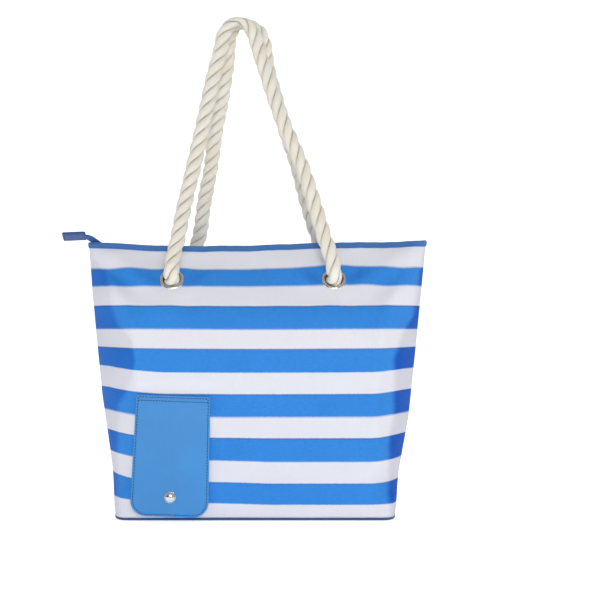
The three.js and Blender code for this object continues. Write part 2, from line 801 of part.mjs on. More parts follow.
function makeTap() {
  const seat = POUCH.seat - CLOTH.gap;
  const gland = [
    [6.5, seat],
    [16, seat],
    [16, seat - 1.6],
    [9.5, seat - 2],
    [9.5, -43.8],
    [6.5, -43.8],
  ];
  place("pouch_gland", atPort(turned(gland, 24)), FINISH.plastic);
  const barrel = [
    [0, -50],
    [0, -44.2],
    [11, -44.2],
    [12.5, -46],
    [12.5, -60.3],
    [4.4, -60.3],
    [4.4, -50],
  ];
  const { x, z } = PORT;
  const nozzle = rod(5.5, [x, -51.5, z - 6], [x, -51.5, z - 26], 16);
  const wings = box([x - 21, -58, z - 5], [x + 21, -55, z + 5]);
  const bore = rod(4.4, [x, -61.5, z], [x, -50, z], 16);
  const spout = rod(3.5, [x, -51.5, z - 14], [x, -51.5, z - 27], 12);
  const body = cut(join(atPort(turned(barrel, 24)), nozzle, wings), bore, spout);
  place("tap_body", body, FINISH.plastic);
  const button = [
    [0, -66.8],
    [7.5, -66.8],
    [8.5, -66],
    [8.5, -64.9],
    [4, -64.9],
    [4, -55.5],
    [0, -55.5],
  ];
  place("tap_button", atPort(turned(button, 20)), FINISH.button);
}

// ---- the whole bag ------------------------------------------------------------------------

makeBody();
makeEyelets();
for (const [face, side] of [["front", -1], ["back", 1]]) {
  makeBinding(`top_binding_${face}`, side);
  makeZipHalf(face, side);
  makeHandle(face, side);
}
makeZipEnd("left", -1);
makeZipEnd("right", 1);
makeSlider();
makeZipTail();
makeKnots();
makeFlap();
makeStud();
makePortRings();
makePocket();
makePouch();
makeTap();

export default bag;
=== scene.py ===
import math

import bmesh
import bpy
from mathutils import Euler, Matrix, Vector, noise


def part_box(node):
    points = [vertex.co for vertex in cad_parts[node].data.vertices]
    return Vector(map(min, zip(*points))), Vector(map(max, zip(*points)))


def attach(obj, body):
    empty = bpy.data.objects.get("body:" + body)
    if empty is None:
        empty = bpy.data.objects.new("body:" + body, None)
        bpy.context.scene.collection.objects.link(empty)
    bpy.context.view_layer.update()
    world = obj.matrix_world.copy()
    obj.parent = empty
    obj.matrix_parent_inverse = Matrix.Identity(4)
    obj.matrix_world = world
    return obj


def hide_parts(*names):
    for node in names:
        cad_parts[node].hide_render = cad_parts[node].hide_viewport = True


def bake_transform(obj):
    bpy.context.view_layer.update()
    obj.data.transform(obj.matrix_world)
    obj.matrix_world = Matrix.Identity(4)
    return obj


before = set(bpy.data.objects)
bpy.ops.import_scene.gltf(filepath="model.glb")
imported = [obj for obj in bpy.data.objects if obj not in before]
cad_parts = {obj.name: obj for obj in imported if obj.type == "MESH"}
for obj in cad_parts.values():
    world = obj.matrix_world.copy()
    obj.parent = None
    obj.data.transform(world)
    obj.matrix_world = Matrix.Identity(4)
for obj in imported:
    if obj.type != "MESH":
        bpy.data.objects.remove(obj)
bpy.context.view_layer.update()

scene = bpy.context.scene
print("frame loaded:", len(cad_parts), "nodes")


view = {
    "eye": (0.0, -2.07, 0.290),
    "lens": 91.4,
    "shiftAcross": 0.0717,  # the bag stands left of the middle
    "nearest": 0.05,
    "ambient": 0.44,
}
lamps = {
    "keyLight": {"place": (0.35, -3.0, 1.25), "target": (0, 0, 0.28), "size": (1.0, 0.9), "power": 29.0},
    "fillLight": {"place": (-0.5, -2.9, 1.1), "target": (0, 0, 0.3), "size": (0.8, 1.2), "power": 3.0},
}
cards = {  # dark cards out of view, for the metal to mirror: place, then width and height
    "darkCardLeft": ((-1.55, -2.2, 0.55), (1.1, 1.5)),
    "darkCardLow": ((0.35, -2.75, 0.06), (1.0, 0.5)),
}
backdrop = {
    "half": 7,
    "near": -6.0,
    "bendStart": 1.6,
    "bendRadius": 1.2,
    "bendSteps": 12,
    "top": 6.0,
    "tint": (0.95, 0.95, 0.95, 1),
    "glow": 0.55,
    "roughness": 0.9,
}


def aimAt(thing, target):
    way = Vector(target) - thing.location
    thing.rotation_euler = way.to_track_quat("-Z", "Y").to_euler()


def addCamera():
    lens = bpy.data.cameras.new("camera")
    lens.lens = view["lens"]
    lens.shift_x = view["shiftAcross"]
    lens.clip_start = view["nearest"]
    camera = bpy.data.objects.new("camera", lens)
    camera.location = view["eye"]
    camera.rotation_euler = (math.radians(90), 0, 0)
    scene.collection.objects.link(camera)
    scene.camera = camera


def addLamp(name, place, target, size, power):
    light = bpy.data.lights.new(name, "AREA")
    light.shape = "RECTANGLE"
    light.size, light.size_y = size
    light.energy = power
    lamp = bpy.data.objects.new(name, light)
    lamp.location = place
    aimAt(lamp, target)
    scene.collection.objects.link(lamp)


def addCard(name, place, size):
    width, height = size[0] / 2, size[1] / 2
    data = bpy.data.meshes.new(name)
    corners = [Vector((x * width, y * height, 0)) for x, y in ((-1, -1), (1, -1), (1, 1), (-1, 1))]
    turn = (Vector(place) - Vector((0, 0, 0.2))).to_track_quat("Z", "Y").to_matrix()
    data.from_pydata([tuple(Vector(place) + turn @ c) for c in corners], [], [(0, 1, 2, 3)])
    dark = bpy.data.materials.get("darkCard") or bpy.data.materials.new("darkCard")
    dark.use_nodes = True
    shader = dark.node_tree.nodes["Principled BSDF"]
    shader.inputs["Base Color"].default_value = (0.012, 0.012, 0.014, 1)
    shader.inputs["Roughness"].default_value = backdrop["roughness"]
    data.materials.append(dark)
    card = bpy.data.objects.new(name, data)
    card.visible_camera = False
    scene.collection.objects.link(card)


def addWorld():
    # the backdrop is white, and lights the bag more softly than it looks
    world = bpy.data.worlds.new("studio")
    world.use_nodes = True
    web = world.node_tree
    sky = web.nodes["Background"]
    sky.inputs["Color"].default_value = (1, 1, 1, 1)
    seen = web.nodes.new("ShaderNodeLightPath")
    strength = web.nodes.new("ShaderNodeMapRange")
    web.links.new(seen.outputs["Is Camera Ray"], strength.inputs["Value"])
    strength.inputs["To Min"].default_value = view["ambient"]
    strength.inputs["To Max"].default_value = 1.0
    web.links.new(strength.outputs[0], sky.inputs["Strength"])
    scene.world = world


def addSweep():
    # a floor that curves up into a wall behind the bag
    start, radius, steps = backdrop["bendStart"], backdrop["bendRadius"], backdrop["bendSteps"]
    profile = [(backdrop["near"], 0.0), (start, 0.0)]
    for i in range(1, steps + 1):
        angle = i * math.pi / 2 / steps
        profile.append((start + radius * math.sin(angle), radius - radius * math.cos(angle)))
    profile.append((start + radius, backdrop["top"]))
    mesh = bmesh.new()
    rows = [[mesh.verts.new((x, y, z)) for x in (-backdrop["half"], backdrop["half"])] for y, z in profile]
    for low, high in zip(rows, rows[1:]):
        mesh.faces.new((low[0], low[1], high[1], high[0]))
    data = bpy.data.meshes.new("sweep")
    mesh.to_mesh(data)
    mesh.free()
    data.shade_smooth()
    sweep = bpy.data.objects.new("sweep", data)
    scene.collection.objects.link(sweep)
    paper = bpy.data.materials.new("studioPaper")
    paper.use_nodes = True
    shader = paper.node_tree.nodes["Principled BSDF"]
    shader.inputs["Base Color"].default_value = backdrop["tint"]
    shader.inputs["Roughness"].default_value = backdrop["roughness"]
    shader.inputs["Emission Color"].default_value = (1, 1, 1, 1)
    shader.inputs["Emission Strength"].default_value = backdrop["glow"]
    data.materials.append(paper)


def addStudio():
    scene.view_settings.view_transform = "Standard"
    addWorld()
    for name, lamp in lamps.items():
        addLamp(name, **lamp)
    for name, (place, size) in cards.items():
        addCard(name, place, size)
    addSweep()


addCamera()
addStudio()
print("camera and studio set")


class Web:  # the nodes and links of one tree
    def __init__(self, tree):
        self.tree = tree

    def add(self, kind, **settings):
        node = self.tree.nodes.new(kind)
        for key, value in settings.items():
            setattr(node, key, value)
        return node

    def feed(self, socket, value):
        if isinstance(value, bpy.types.NodeSocket):
            self.tree.links.new(value, socket)
        else:
            socket.default_value = value

    def math(self, operation, first, second=0.0, clamp=False):
        node = self.add("ShaderNodeMath", operation=operation, use_clamp=clamp)
        self.feed(node.inputs[0], first)
        self.feed(node.inputs[1], second)
        return node.outputs[0]

    def noise(self, vector, scale, detail=2.0, roughness=0.5, dimensions="3D"):
        node = self.add("ShaderNodeTexNoise", noise_dimensions=dimensions)
        self.feed(node.inputs["Vector"], vector)
        self.feed(node.inputs["Scale"], scale)
        self.feed(node.inputs["Detail"], detail)
        self.feed(node.inputs["Roughness"], roughness)
        return node.outputs["Fac"]

    def remap(self, value, low, high, newLow, newHigh):
        node = self.add("ShaderNodeMapRange")
        for index, number in enumerate((value, low, high, newLow, newHigh)):
            self.feed(node.inputs[index], number)
        return node.outputs[0]

    def mix(self, share, first, second, blend="MIX"):
        node = self.add("ShaderNodeMix", data_type="RGBA", blend_type=blend)
        self.feed(node.inputs["Factor"], share)
        self.feed(node.inputs[6], first)
        self.feed(node.inputs[7], second)
        return node.outputs[2]

    def bump(self, height, strength, distance, normal=None):
        node = self.add("ShaderNodeBump")
        self.feed(node.inputs["Height"], height)
        self.feed(node.inputs["Strength"], strength)
        self.feed(node.inputs["Distance"], distance)
        if normal is not None:
            self.feed(node.inputs["Normal"], normal)
        return node.outputs["Normal"]


def makeGroup(name, inputs, outputs, build):
    tree = bpy.data.node_groups.new(name, "ShaderNodeTree")
    for label, kind, value in inputs:
        socket = tree.interface.new_socket(label, in_out="INPUT", socket_type=kind)
        if value is not None:
            socket.default_value = value
    for label, kind in outputs:
        tree.interface.new_socket(label, in_out="OUTPUT", socket_type=kind)
    web = Web(tree)
    start = web.add("NodeGroupInput")
    end = web.add("NodeGroupOutput")
    for label, value in build(web, start.outputs).items():
        web.feed(end.inputs[label], value)
    return tree


def weaveNodes(web, given):
    # over and under threads of a plain weave, from coordinates in metres
    split = web.add("ShaderNodeSeparateXYZ")
    web.feed(split.inputs[0], given["Cloth"])
    across = web.math("DIVIDE", split.outputs[0], given["Thread"])
    up = web.math("DIVIDE", split.outputs[1], given["Thread"])
    ridgeAcross = web.math("ABSOLUTE", web.math("SINE", web.math("MULTIPLY", across, math.pi)))
    ridgeUp = web.math("ABSOLUTE", web.math("SINE", web.math("MULTIPLY", up, math.pi)))
    steps = web.math("ADD", web.math("FLOOR", across), web.math("FLOOR", up))
    over = web.math("ABSOLUTE", web.math("MODULO", steps, 2.0))
    warp = web.math("MULTIPLY", ridgeAcross, over)
    weft = web.math("MULTIPLY", ridgeUp, web.math("SUBTRACT", 1.0, over))
    height = web.math("ADD", warp, weft)
    # slubs run along the threads
    stretch = web.add("ShaderNodeCombineXYZ")
    web.feed(stretch.inputs[0], web.math("MULTIPLY", split.outputs[0], 60.0))
    web.feed(stretch.inputs[1], web.math("MULTIPLY", split.outputs[1], 1100.0))
    slub = web.noise(stretch.outputs[0], 1.0, 2.0)
    stretch = web.add("ShaderNodeCombineXYZ")
    web.feed(stretch.inputs[0], web.math("MULTIPLY", split.outputs[0], 1100.0))
    web.feed(stretch.inputs[1], web.math("MULTIPLY", split.outputs[1], 60.0))
    slubUp = web.noise(stretch.outputs[0], 1.0, 2.0)
    slubs = web.math("ADD", slub, slubUp)
    full = web.math("ADD", height, web.math("MULTIPLY", slubs, given["Slub"]))
    # Shade is painted shade low between the threads, with the slubs' real tone
    shade = web.math("ADD", web.math("MULTIPLY", height, 0.5), web.math("MULTIPLY", slubs, 0.5))
    return {"Height": full, "Shade": shade}


weaveGroup = makeGroup(
    "plainWeave",
    [("Cloth", "NodeSocketVector", None), ("Thread", "NodeSocketFloat", 0.0006), ("Slub", "NodeSocketFloat", 0.8)],
    [("Height", "NodeSocketFloat"), ("Shade", "NodeSocketFloat")],
    weaveNodes,
)


def grainNodes(web, given):
    # small pebbles with fine creases between them
    cells = web.add("ShaderNodeTexVoronoi", feature="DISTANCE_TO_EDGE")
    web.feed(cells.inputs["Vector"], given["Place"])
    web.feed(cells.inputs["Scale"], given["Scale"])
    crease = web.remap(cells.outputs["Distance"], 0.0, 0.18, 0.0, 1.0)
    fine = web.noise(given["Place"], web.math("MULTIPLY", given["Scale"], 3.0), 3.0)
    cloud = web.noise(given["Place"], 22.0, 3.0)
    height = web.math("ADD", web.math("MULTIPLY", crease, 0.6), web.math("MULTIPLY", fine, 0.4))
    return {"Height": height, "Crease": crease, "Cloud": cloud}


grainGroup = makeGroup(
    "skinGrain",
    [("Place", "NodeSocketVector", None), ("Scale", "NodeSocketFloat", 900.0)],
    [("Height", "NodeSocketFloat"), ("Crease", "NodeSocketFloat"), ("Cloud", "NodeSocketFloat")],
    grainNodes,
)


def scuffNodes(web, given):
    # hair scratches and faint smudges
    scratch = web.add("ShaderNodeMapping")
    web.feed(scratch.inputs["Vector"], given["Place"])
    scratch.inputs["Rotation"].default_value = (0.4, 0.9, 0.3)
    scratch.inputs["Scale"].default_value = (900.0, 60.0, 900.0)
    hair = web.remap(web.noise(scratch.outputs[0], 1.0, 3.0), 0.45, 0.7, 0.0, 1.0)
    smudge = web.noise(given["Place"], 140.0, 3.0)
    rough = web.math("ADD", web.math("MULTIPLY", hair, 0.5), web.math("MULTIPLY", smudge, 0.5))
    return {"Wear": rough, "Hair": hair}


scuffGroup = makeGroup(
    "fineScuffs",
    [("Place", "NodeSocketVector", None)],
    [("Wear", "NodeSocketFloat"), ("Hair", "NodeSocketFloat")],
    scuffNodes,
)


def newMaterial(name, metallic=0.0, sheen=0.0, specular=0.5, coat=0.0, coatRoughness=0.1):
    material = bpy.data.materials.new(name)
    material.use_nodes = True
    shader = material.node_tree.nodes["Principled BSDF"]
    shader.inputs["Metallic"].default_value = metallic
    shader.inputs["Sheen Weight"].default_value = sheen
    shader.inputs["Sheen Roughness"].default_value = 0.5
    shader.inputs["Specular IOR Level"].default_value = specular
    shader.inputs["Coat Weight"].default_value = coat
    shader.inputs["Coat Roughness"].default_value = coatRoughness
    return material, Web(material.node_tree), shader


def clothPlace(web):
    return web.add("ShaderNodeUVMap", uv_map="cloth").outputs["UV"]


def objectPlace(web):
    return web.add("ShaderNodeTexCoord").outputs["Object"]


def useGroup(web, tree, **values):
    node = web.add("ShaderNodeGroup", node_tree=tree)
    for label, value in values.items():
        web.feed(node.inputs[label], value)
    return node.outputs


def rgb(red, green, blue):
    # a colour as the eye names it, 0 to 255, turned into light
    def linear(c):
        c /= 255
        return c / 12.92 if c <= 0.04045 else ((c + 0.055) / 1.055) ** 2.4

    return (linear(red), linear(green), linear(blue), 1.0)


canvasLook = {
    "white": rgb(226, 227, 236),
    "blue": rgb(55, 137, 221),
    "edge": rgb(34, 96, 178),
    "shadeBlue": (0.12, 0.36, 0.68, 1),  # painted shade: what the cloth's colour is multiplied by on the sides
    "shadeWhite": (0.84, 0.83, 0.85, 1),
    "thread": 0.00062,
    "bump": 0.00022,
    # heights in metres where the colour changes, from the base up, white first
    "stripes": (0.0207, 0.0497, 0.0779, 0.1086, 0.1360, 0.1666, 0.1950, 0.2252, 0.2514, 0.2817, 0.3078, 0.3312),
    "top": 0.40,
    "softEdge": 0.0005,
    "edgeLine": 0.0016,  # how wide the darker line under each blue stripe is
    "wander": 0.0010,
}


def makeCanvas():
    material, web, shader = newMaterial("stripedCanvas", sheen=0.02, specular=0.12)
    place = clothPlace(web)
    split = web.add("ShaderNodeSeparateXYZ")
    web.feed(split.inputs[0], place)
    wander = web.math("SUBTRACT", web.noise(place, 500.0, 2.0), 0.5)
    level = web.math("ADD", split.outputs[1], web.math("MULTIPLY", wander, canvasLook["wander"]))
    share = web.math("DIVIDE", level, canvasLook["top"])
    ramp = web.add("ShaderNodeValToRGB")
    web.feed(ramp.inputs[0], share)
    stops = ramp.color_ramp.elements
    colours = (canvasLook["white"], canvasLook["blue"])
    soft = canvasLook["softEdge"] / 2
    stops[0].position, stops[0].color = 0.0, colours[0]
    stops[1].position, stops[1].color = 1.0, colours[len(canvasLook["stripes"]) % 2]
    for index, edge in enumerate(canvasLook["stripes"]):
        below, above = colours[index % 2], colours[(index + 1) % 2]
        wanted = [(-soft, below), (soft, above)]
        if index % 2:
            wanted = [(-soft - canvasLook["edgeLine"], below), (-soft, canvasLook["edge"]), (soft, above)]
        for shift, colour in wanted:
            stop = stops.new((edge + shift) / canvasLook["top"])
            stop.color = colour
    weave = useGroup(web, weaveGroup, Cloth=place, Thread=canvasLook["thread"])
    cloud = web.noise(place, 9.0, 4.0, 0.6)
    stretched = web.add("ShaderNodeMapping")
    web.feed(stretched.inputs["Vector"], place)
    stretched.inputs["Scale"].default_value = (150.0, 520.0, 1.0)
    streak = web.noise(stretched.outputs[0], 1.0, 3.0, 0.6)
    # painted shade between the threads, with the real tone of the slubs
    shade = web.remap(weave["Shade"], 0.2, 0.9, 0.90, 1.05)
    mottle = web.math("MULTIPLY", web.remap(cloud, 0.3, 0.7, 0.965, 1.03), web.remap(streak, 0.3, 0.7, 0.93, 1.06))
    # white yarns hide the streaks, blue ones show them and fade a little
    pale = web.add("ShaderNodeSeparateColor")
    web.feed(pale.inputs[0], ramp.outputs[0])
    white = web.remap(pale.outputs[0], 0.1, 0.7, 0.0, 1.0)
    mottled = web.math("MULTIPLY", mottle, web.math("SUBTRACT", 1.0, white))
    tone = web.math("MULTIPLY", shade, web.math("ADD", mottled, white))
    colour = web.mix(1.0, ramp.outputs[0], tone, "MULTIPLY")
    # painted shade: the 'deep' attribute darkens the sides and the soft folds
    deep = web.add("ShaderNodeAttribute", attribute_name="deep").outputs["Fac"]
    darker = web.mix(white, canvasLook["shadeBlue"], canvasLook["shadeWhite"])
    colour = web.mix(1.0, colour, web.mix(deep, (1, 1, 1, 1), darker), "MULTIPLY")
    # painted shade: the cloth darkens towards the hem
    hemShade = web.remap(web.math("ADD", split.outputs[1], web.math("MULTIPLY", cloud, 0.01)), 0.004, 0.03, 0.88, 1.0)
    web.feed(shader.inputs["Base Color"], web.mix(1.0, colour, hemShade, "MULTIPLY"))
    web.feed(shader.inputs["Roughness"], web.remap(weave["Shade"], 0.2, 0.9, 0.9, 0.78))
    web.feed(shader.inputs["Normal"], web.bump(weave["Height"], 0.5, canvasLook["bump"]))
    return material


def makeCloth(name, colour, thread=0.0006, bump=0.0002, sheen=0.1, dark=0.8, roughness=0.85):
    material, web, shader = newMaterial(name, sheen=sheen, specular=0.3)
    place = clothPlace(web)
    weave = useGroup(web, weaveGroup, Cloth=place, Thread=thread)
    cloud = web.noise(objectPlace(web), 30.0, 3.0)
    low = tuple(c * dark for c in colour[:3]) + (1.0,)
    # painted shade: the weave's low parts take the darker colour, with the slubs' real tone
    tinted = web.mix(web.remap(weave["Shade"], 0.25, 0.85, 0.0, 1.0), low, colour)
    web.feed(shader.inputs["Base Color"], web.mix(1.0, tinted, web.remap(cloud, 0.3, 0.7, 0.94, 1.04), "MULTIPLY"))
    web.feed(shader.inputs["Roughness"], web.remap(cloud, 0.3, 0.7, roughness - 0.06, roughness + 0.06))
    web.feed(shader.inputs["Normal"], web.bump(weave["Height"], 0.6, bump))
    return material


def makeSkin(name, colour, dark, grain=900.0, bump=0.00012, roughness=0.42, coat=0.0):
    material, web, shader = newMaterial(name, specular=0.45, coat=coat, coatRoughness=0.3)
    grained = useGroup(web, grainGroup, Place=objectPlace(web), Scale=grain)
    # painted shade: the creases between the pebbles are darker
    base = web.mix(web.remap(grained["Crease"], 0.0, 1.0, 0.55, 0.0), colour, dark)
    tone = web.remap(grained["Cloud"], 0.3, 0.7, 0.95, 1.04)
    web.feed(shader.inputs["Base Color"], web.mix(1.0, base, tone, "MULTIPLY"))
    web.feed(shader.inputs["Roughness"], web.remap(grained["Cloud"], 0.3, 0.7, roughness - 0.05, roughness + 0.06))
    web.feed(shader.inputs["Normal"], web.bump(grained["Height"], 0.5, bump))
    return material


def makeMetal(name, colour, roughness=0.14):
    material, web, shader = newMaterial(name, metallic=1.0)
    scuffs = useGroup(web, scuffGroup, Place=objectPlace(web))
    dull = tuple(c * 0.82 for c in colour[:3]) + (1.0,)
    web.feed(shader.inputs["Base Color"], web.mix(scuffs["Wear"], colour, dull))
    web.feed(shader.inputs["Roughness"], web.remap(scuffs["Wear"], 0.2, 0.8, roughness - 0.05, roughness + 0.12))
    web.feed(shader.inputs["Normal"], web.bump(scuffs["Hair"], 0.25, 0.00002))
    return material


def makePlastic(name, colour, roughness=0.3, specular=0.5):
    material, web, shader = newMaterial(name, specular=specular)
    scuffs = useGroup(web, scuffGroup, Place=objectPlace(web))
    dull = tuple(c * 0.9 for c in colour[:3]) + (1.0,)
    web.feed(shader.inputs["Base Color"], web.mix(scuffs["Wear"], colour, dull))
    web.feed(shader.inputs["Roughness"], web.remap(scuffs["Wear"], 0.2, 0.8, roughness - 0.06, roughness + 0.1))
    fine = web.noise(objectPlace(web), 1800.0, 2.0)
    web.feed(shader.inputs["Normal"], web.bump(fine, 0.2, 0.00003))
    return material


def makeFoil(name):
    material, web, shader = newMaterial(name, metallic=0.7, specular=0.5)
    place = objectPlace(web)
    creases = web.add("ShaderNodeTexVoronoi", feature="DISTANCE_TO_EDGE")
    web.feed(creases.inputs["Vector"], place)
    web.feed(creases.inputs["Scale"], 70.0)
    folds = web.remap(creases.outputs["Distance"], 0.0, 0.12, 0.0, 1.0)
    wave = web.noise(place, 45.0, 4.0)
    # painted shade: darker along the creases
    web.feed(shader.inputs["Base Color"], web.mix(folds, rgb(168, 172, 178), rgb(206, 209, 214)))
    web.feed(shader.inputs["Roughness"], web.remap(wave, 0.3, 0.7, 0.28, 0.5))
    height = web.math("ADD", web.math("MULTIPLY", folds, 0.4), wave)
    web.feed(shader.inputs["Normal"], web.bump(height, 0.6, 0.0012))
    return material


ropeLook = {
    "pale": rgb(255, 253, 244),
    "mid": rgb(254, 246, 228),
    # deep is both the colour of the fibre specks and the painted shade in the grooves
    "deep": rgb(236, 220, 188),
    "yarnsRound": 11.0,
    "yarnsPerMetre": 190.0,
    "bump": 0.0007,
}


def makeRope():
    # the cloth map runs along a strand (x) and round it (y, one turn is 1)
    material, web, shader = newMaterial("cottonRope", sheen=0.35, specular=0.2)
    split = web.add("ShaderNodeSeparateXYZ")
    web.feed(split.inputs[0], clothPlace(web))
    yarnsRound = web.math("MULTIPLY", split.outputs[1], ropeLook["yarnsRound"])
    yarnsAlong = web.math("MULTIPLY", split.outputs[0], ropeLook["yarnsPerMetre"])
    yarns = web.math("SUBTRACT", yarnsRound, yarnsAlong)
    ridge = web.math("ABSOLUTE", web.math("SINE", web.math("MULTIPLY", yarns, math.pi)))
    place = objectPlace(web)
    fibre = web.noise(place, 1500.0, 4.0, 0.65)
    tangle = web.noise(place, 420.0, 3.0, 0.6)
    patch = web.noise(place, 38.0, 3.0)
    # painted shade: darker in the grooves between the strands and the valleys between the yarns
    groove = web.add("ShaderNodeAttribute", attribute_name="groove").outputs["Fac"]
    lit = web.mix(web.remap(patch, 0.3, 0.7, 0.0, 1.0), ropeLook["mid"], ropeLook["pale"])
    shadedYarns = web.mix(web.remap(ridge, 0.0, 0.5, 0.35, 0.0), lit, ropeLook["mid"])
    specked = web.mix(web.remap(fibre, 0.5, 0.75, 0.0, 0.5), shadedYarns, ropeLook["deep"])
    web.feed(shader.inputs["Base Color"], web.mix(web.remap(groove, 0.5, 1.0, 0.0, 0.5), specked, ropeLook["deep"]))
    web.feed(shader.inputs["Roughness"], web.remap(tangle, 0.3, 0.7, 0.82, 0.97))
    height = web.math("ADD", web.math("MULTIPLY", ridge, 0.9), web.math("ADD", fibre, tangle))
    web.feed(shader.inputs["Normal"], web.bump(height, 1.0, ropeLook["bump"]))
    return material


def makeThread(name, colour):
    material, web, shader = newMaterial(name, sheen=0.1, specular=0.4)
    twist = web.noise(objectPlace(web), 2600.0, 3.0)
    low = tuple(c * 0.6 for c in colour[:3]) + (1.0,)
    web.feed(shader.inputs["Base Color"], web.mix(twist, low, colour))
    web.feed(shader.inputs["Roughness"], web.remap(twist, 0.3, 0.7, 0.55, 0.8))
    web.feed(shader.inputs["Normal"], web.bump(twist, 0.5, 0.0001))
    return material


look = {
    "canvas": makeCanvas(),
    "base": makeCloth("baseCanvas", rgb(52, 82, 138), 0.0007),
    "lining": makeCloth("liningCloth", rgb(214, 218, 226), 0.0004, 0.0001),
    "binding": makeCloth("bindingTape", rgb(70, 125, 196), 0.0009, 0.0004, dark=0.72),
    "tape": makeCloth("zipTape", rgb(56, 96, 170), 0.0007, 0.0003, dark=0.7),
    "teeth": makePlastic("zipTeeth", rgb(48, 98, 170), 0.35),
    "nickel": makeMetal("nickel", (0.74, 0.73, 0.71, 1.0), 0.11),
    "rope": makeRope(),
    "skin": makeSkin("flapSkin", rgb(58, 142, 210), rgb(44, 118, 192)),
    "navySkin": makeSkin("tabSkin", rgb(30, 74, 140), rgb(18, 50, 106), 1100.0),
    "thread": makeThread("blueThread", rgb(16, 44, 104)),
    "navyThread": makeThread("navyThread", rgb(26, 50, 98)),
    "board": makePlastic("baseBoard", rgb(60, 64, 70), 0.6),
    "foam": makeCloth("pocketCloth", rgb(186, 190, 198), 0.0005),
    "foil": makeFoil("foilSkin"),
    "film": makeFoil("pouchFilm"),
    "white": makePlastic("tapPlastic", rgb(240, 240, 238), 0.28),
    "red": makePlastic("buttonPlastic", rgb(200, 48, 40), 0.28),
}
print("materials made:", len(look))


def addPiece(name, points, faces, material, uv=None, attributes=None):
    data = bpy.data.meshes.new(name)
    data.from_pydata([tuple(p) for p in points], [], faces)
    if uv is not None:
        layer = data.uv_layers.new(name="cloth")
        flat = []
        for face in faces:
            flat.extend(value for index in face for value in uv(face, index))
        layer.data.foreach_set("uv", flat)
    for label, values in (attributes or {}).items():
        data.attributes.new(label, "FLOAT", "POINT").data.foreach_set("value", values)
    data.materials.append(material)
    data.shade_smooth()
    data.validate()
    piece = bpy.data.objects.new(name, data)
    scene.collection.objects.link(piece)
    return piece


def settle(piece):
    # bakes every modifier into a plain mesh
    bpy.context.view_layer.update()
    graph = bpy.context.evaluated_depsgraph_get()
    data = bpy.data.meshes.new_from_object(piece.evaluated_get(graph), depsgraph=graph)
    data.name = piece.name
    piece.modifiers.clear()
    old = piece.data
    piece.data = data
    if old.users == 0:
        bpy.data.meshes.remove(old)
    return piece


def gridFaces(rows, columns, wrap=False, start=0):
    # quads of a grid of points, row by row; wrap joins the last column to the first
    faces = []
    for i in range(rows - 1):
        for j in range(columns if wrap else columns - 1):
            k = (j + 1) % columns
            low, high = start + i * columns, start + (i + 1) * columns
            faces.append((low + j, low + k, high + k, high + j))
    return faces


def faceOut(piece):
    work = bmesh.new()
    work.from_mesh(piece.data)
    bmesh.ops.recalc_face_normals(work, faces=work.faces)
    work.to_mesh(piece.data)
    work.free()


def joinPieces(name, pieces):
    with bpy.context.temp_override(active_object=pieces[0], selected_editable_objects=pieces, selected_objects=pieces):
        bpy.ops.object.join()
    pieces[0].name = name
    pieces[0].data.name = name
    return pieces[0]


def mix(a, b, t):
    return a + (b - a) * t


def clamp(t, low=0.0, high=1.0):
    return max(low, min(high, t))


def ease(t):
    t = clamp(t)
    return t * t * (3 - 2 * t)


def hump(distance, width):
    return math.exp(-((distance / width) ** 2))


def window(t, start, rise, end, fall):
    # 1 between start and end, falling softly to 0 inside both
    return ease((t - start) / rise) * ease((end - t) / fall)


bagShape = {
    "height": 0.3635,
    "baseHalf": 0.189,
    "mouthHalf": 0.228,
    "halfDepth": 0.070,
    "shoulder": 0.268,
    "soft": 0.012,
    "lean": 0.6,
    "hemTuck": 0.004,
    "hemHeight": 0.010,
    "cornerLift": 0.006,
}
cornerShape = {  # at the base, half way up and at the mouth
    "reach": (0.024, 0.055, 0.022),
    "flat": (3.0, 1.7, 1.5),
    "rounding": (4.0, 1.3, 1.0),
    "loose": {"share": 0.7, "reach": 0.056, "flat": 1.35, "rounding": 1.15},  # where the side hangs freely
    "steps": 60,
}
eyelets = {
    "level": 0.3159,
    "rise": 0.0012,
    "front": (-0.1135, 0.1025),
    "back": (-0.101, 0.109),
    "hole": 0.0128,
}
port = {"x": -0.1105, "z": 0.0965, "hole": 0.0264}
stud = {"x": -0.1137, "z": 0.0318, "hole": 0.0022}
nearest = 0.00012  # the least distance of a front or back piece from the side seam


def halfWidth(z):
    return mix(bagShape["baseHalf"], bagShape["mouthHalf"], z / bagShape["height"])


def halfDepth(z):
    lean = math.log1p(math.exp((z - bagShape["shoulder"]) / bagShape["soft"])) * bagShape["soft"]
    return bagShape["halfDepth"] - bagShape["lean"] * lean - bagShape["hemTuck"] * math.exp(-z / bagShape["hemHeight"])


def cornerAt(z):
    # how far the corner reaches in, and the two powers of its curve
    share = z / bagShape["height"]
    low, high = ease(share / 0.5), ease((share - 0.7) / 0.3)
    return [mix(mix(a, b, low), c, high) for a, b, c in (cornerShape[key] for key in ("reach", "flat", "rounding"))]


def tableAt(table, value):
    # straight lines between the pairs of a table
    for (a, first), (b, second) in zip(table, table[1:]):
        if value <= b:
            return mix(first, second, clamp((value - a) / (b - a)))
    return table[-1][1]


bagLean = {  # how far each side stands out beyond the plain shape, by height
    "left": (
        (0.0, 0.0), (0.03, 0.0), (0.08, 0.0006), (0.12, 0.0022), (0.16, 0.0038), (0.22, 0.0034), (0.30, 0.0026),
        (0.36, 0.0004),
    ),
    "right": (
        (0.0, -0.0050), (0.02, -0.0045), (0.06, -0.0028), (0.095, 0.0), (0.13, 0.0028), (0.22, 0.0026), (0.36, 0.0018),
    ),
}


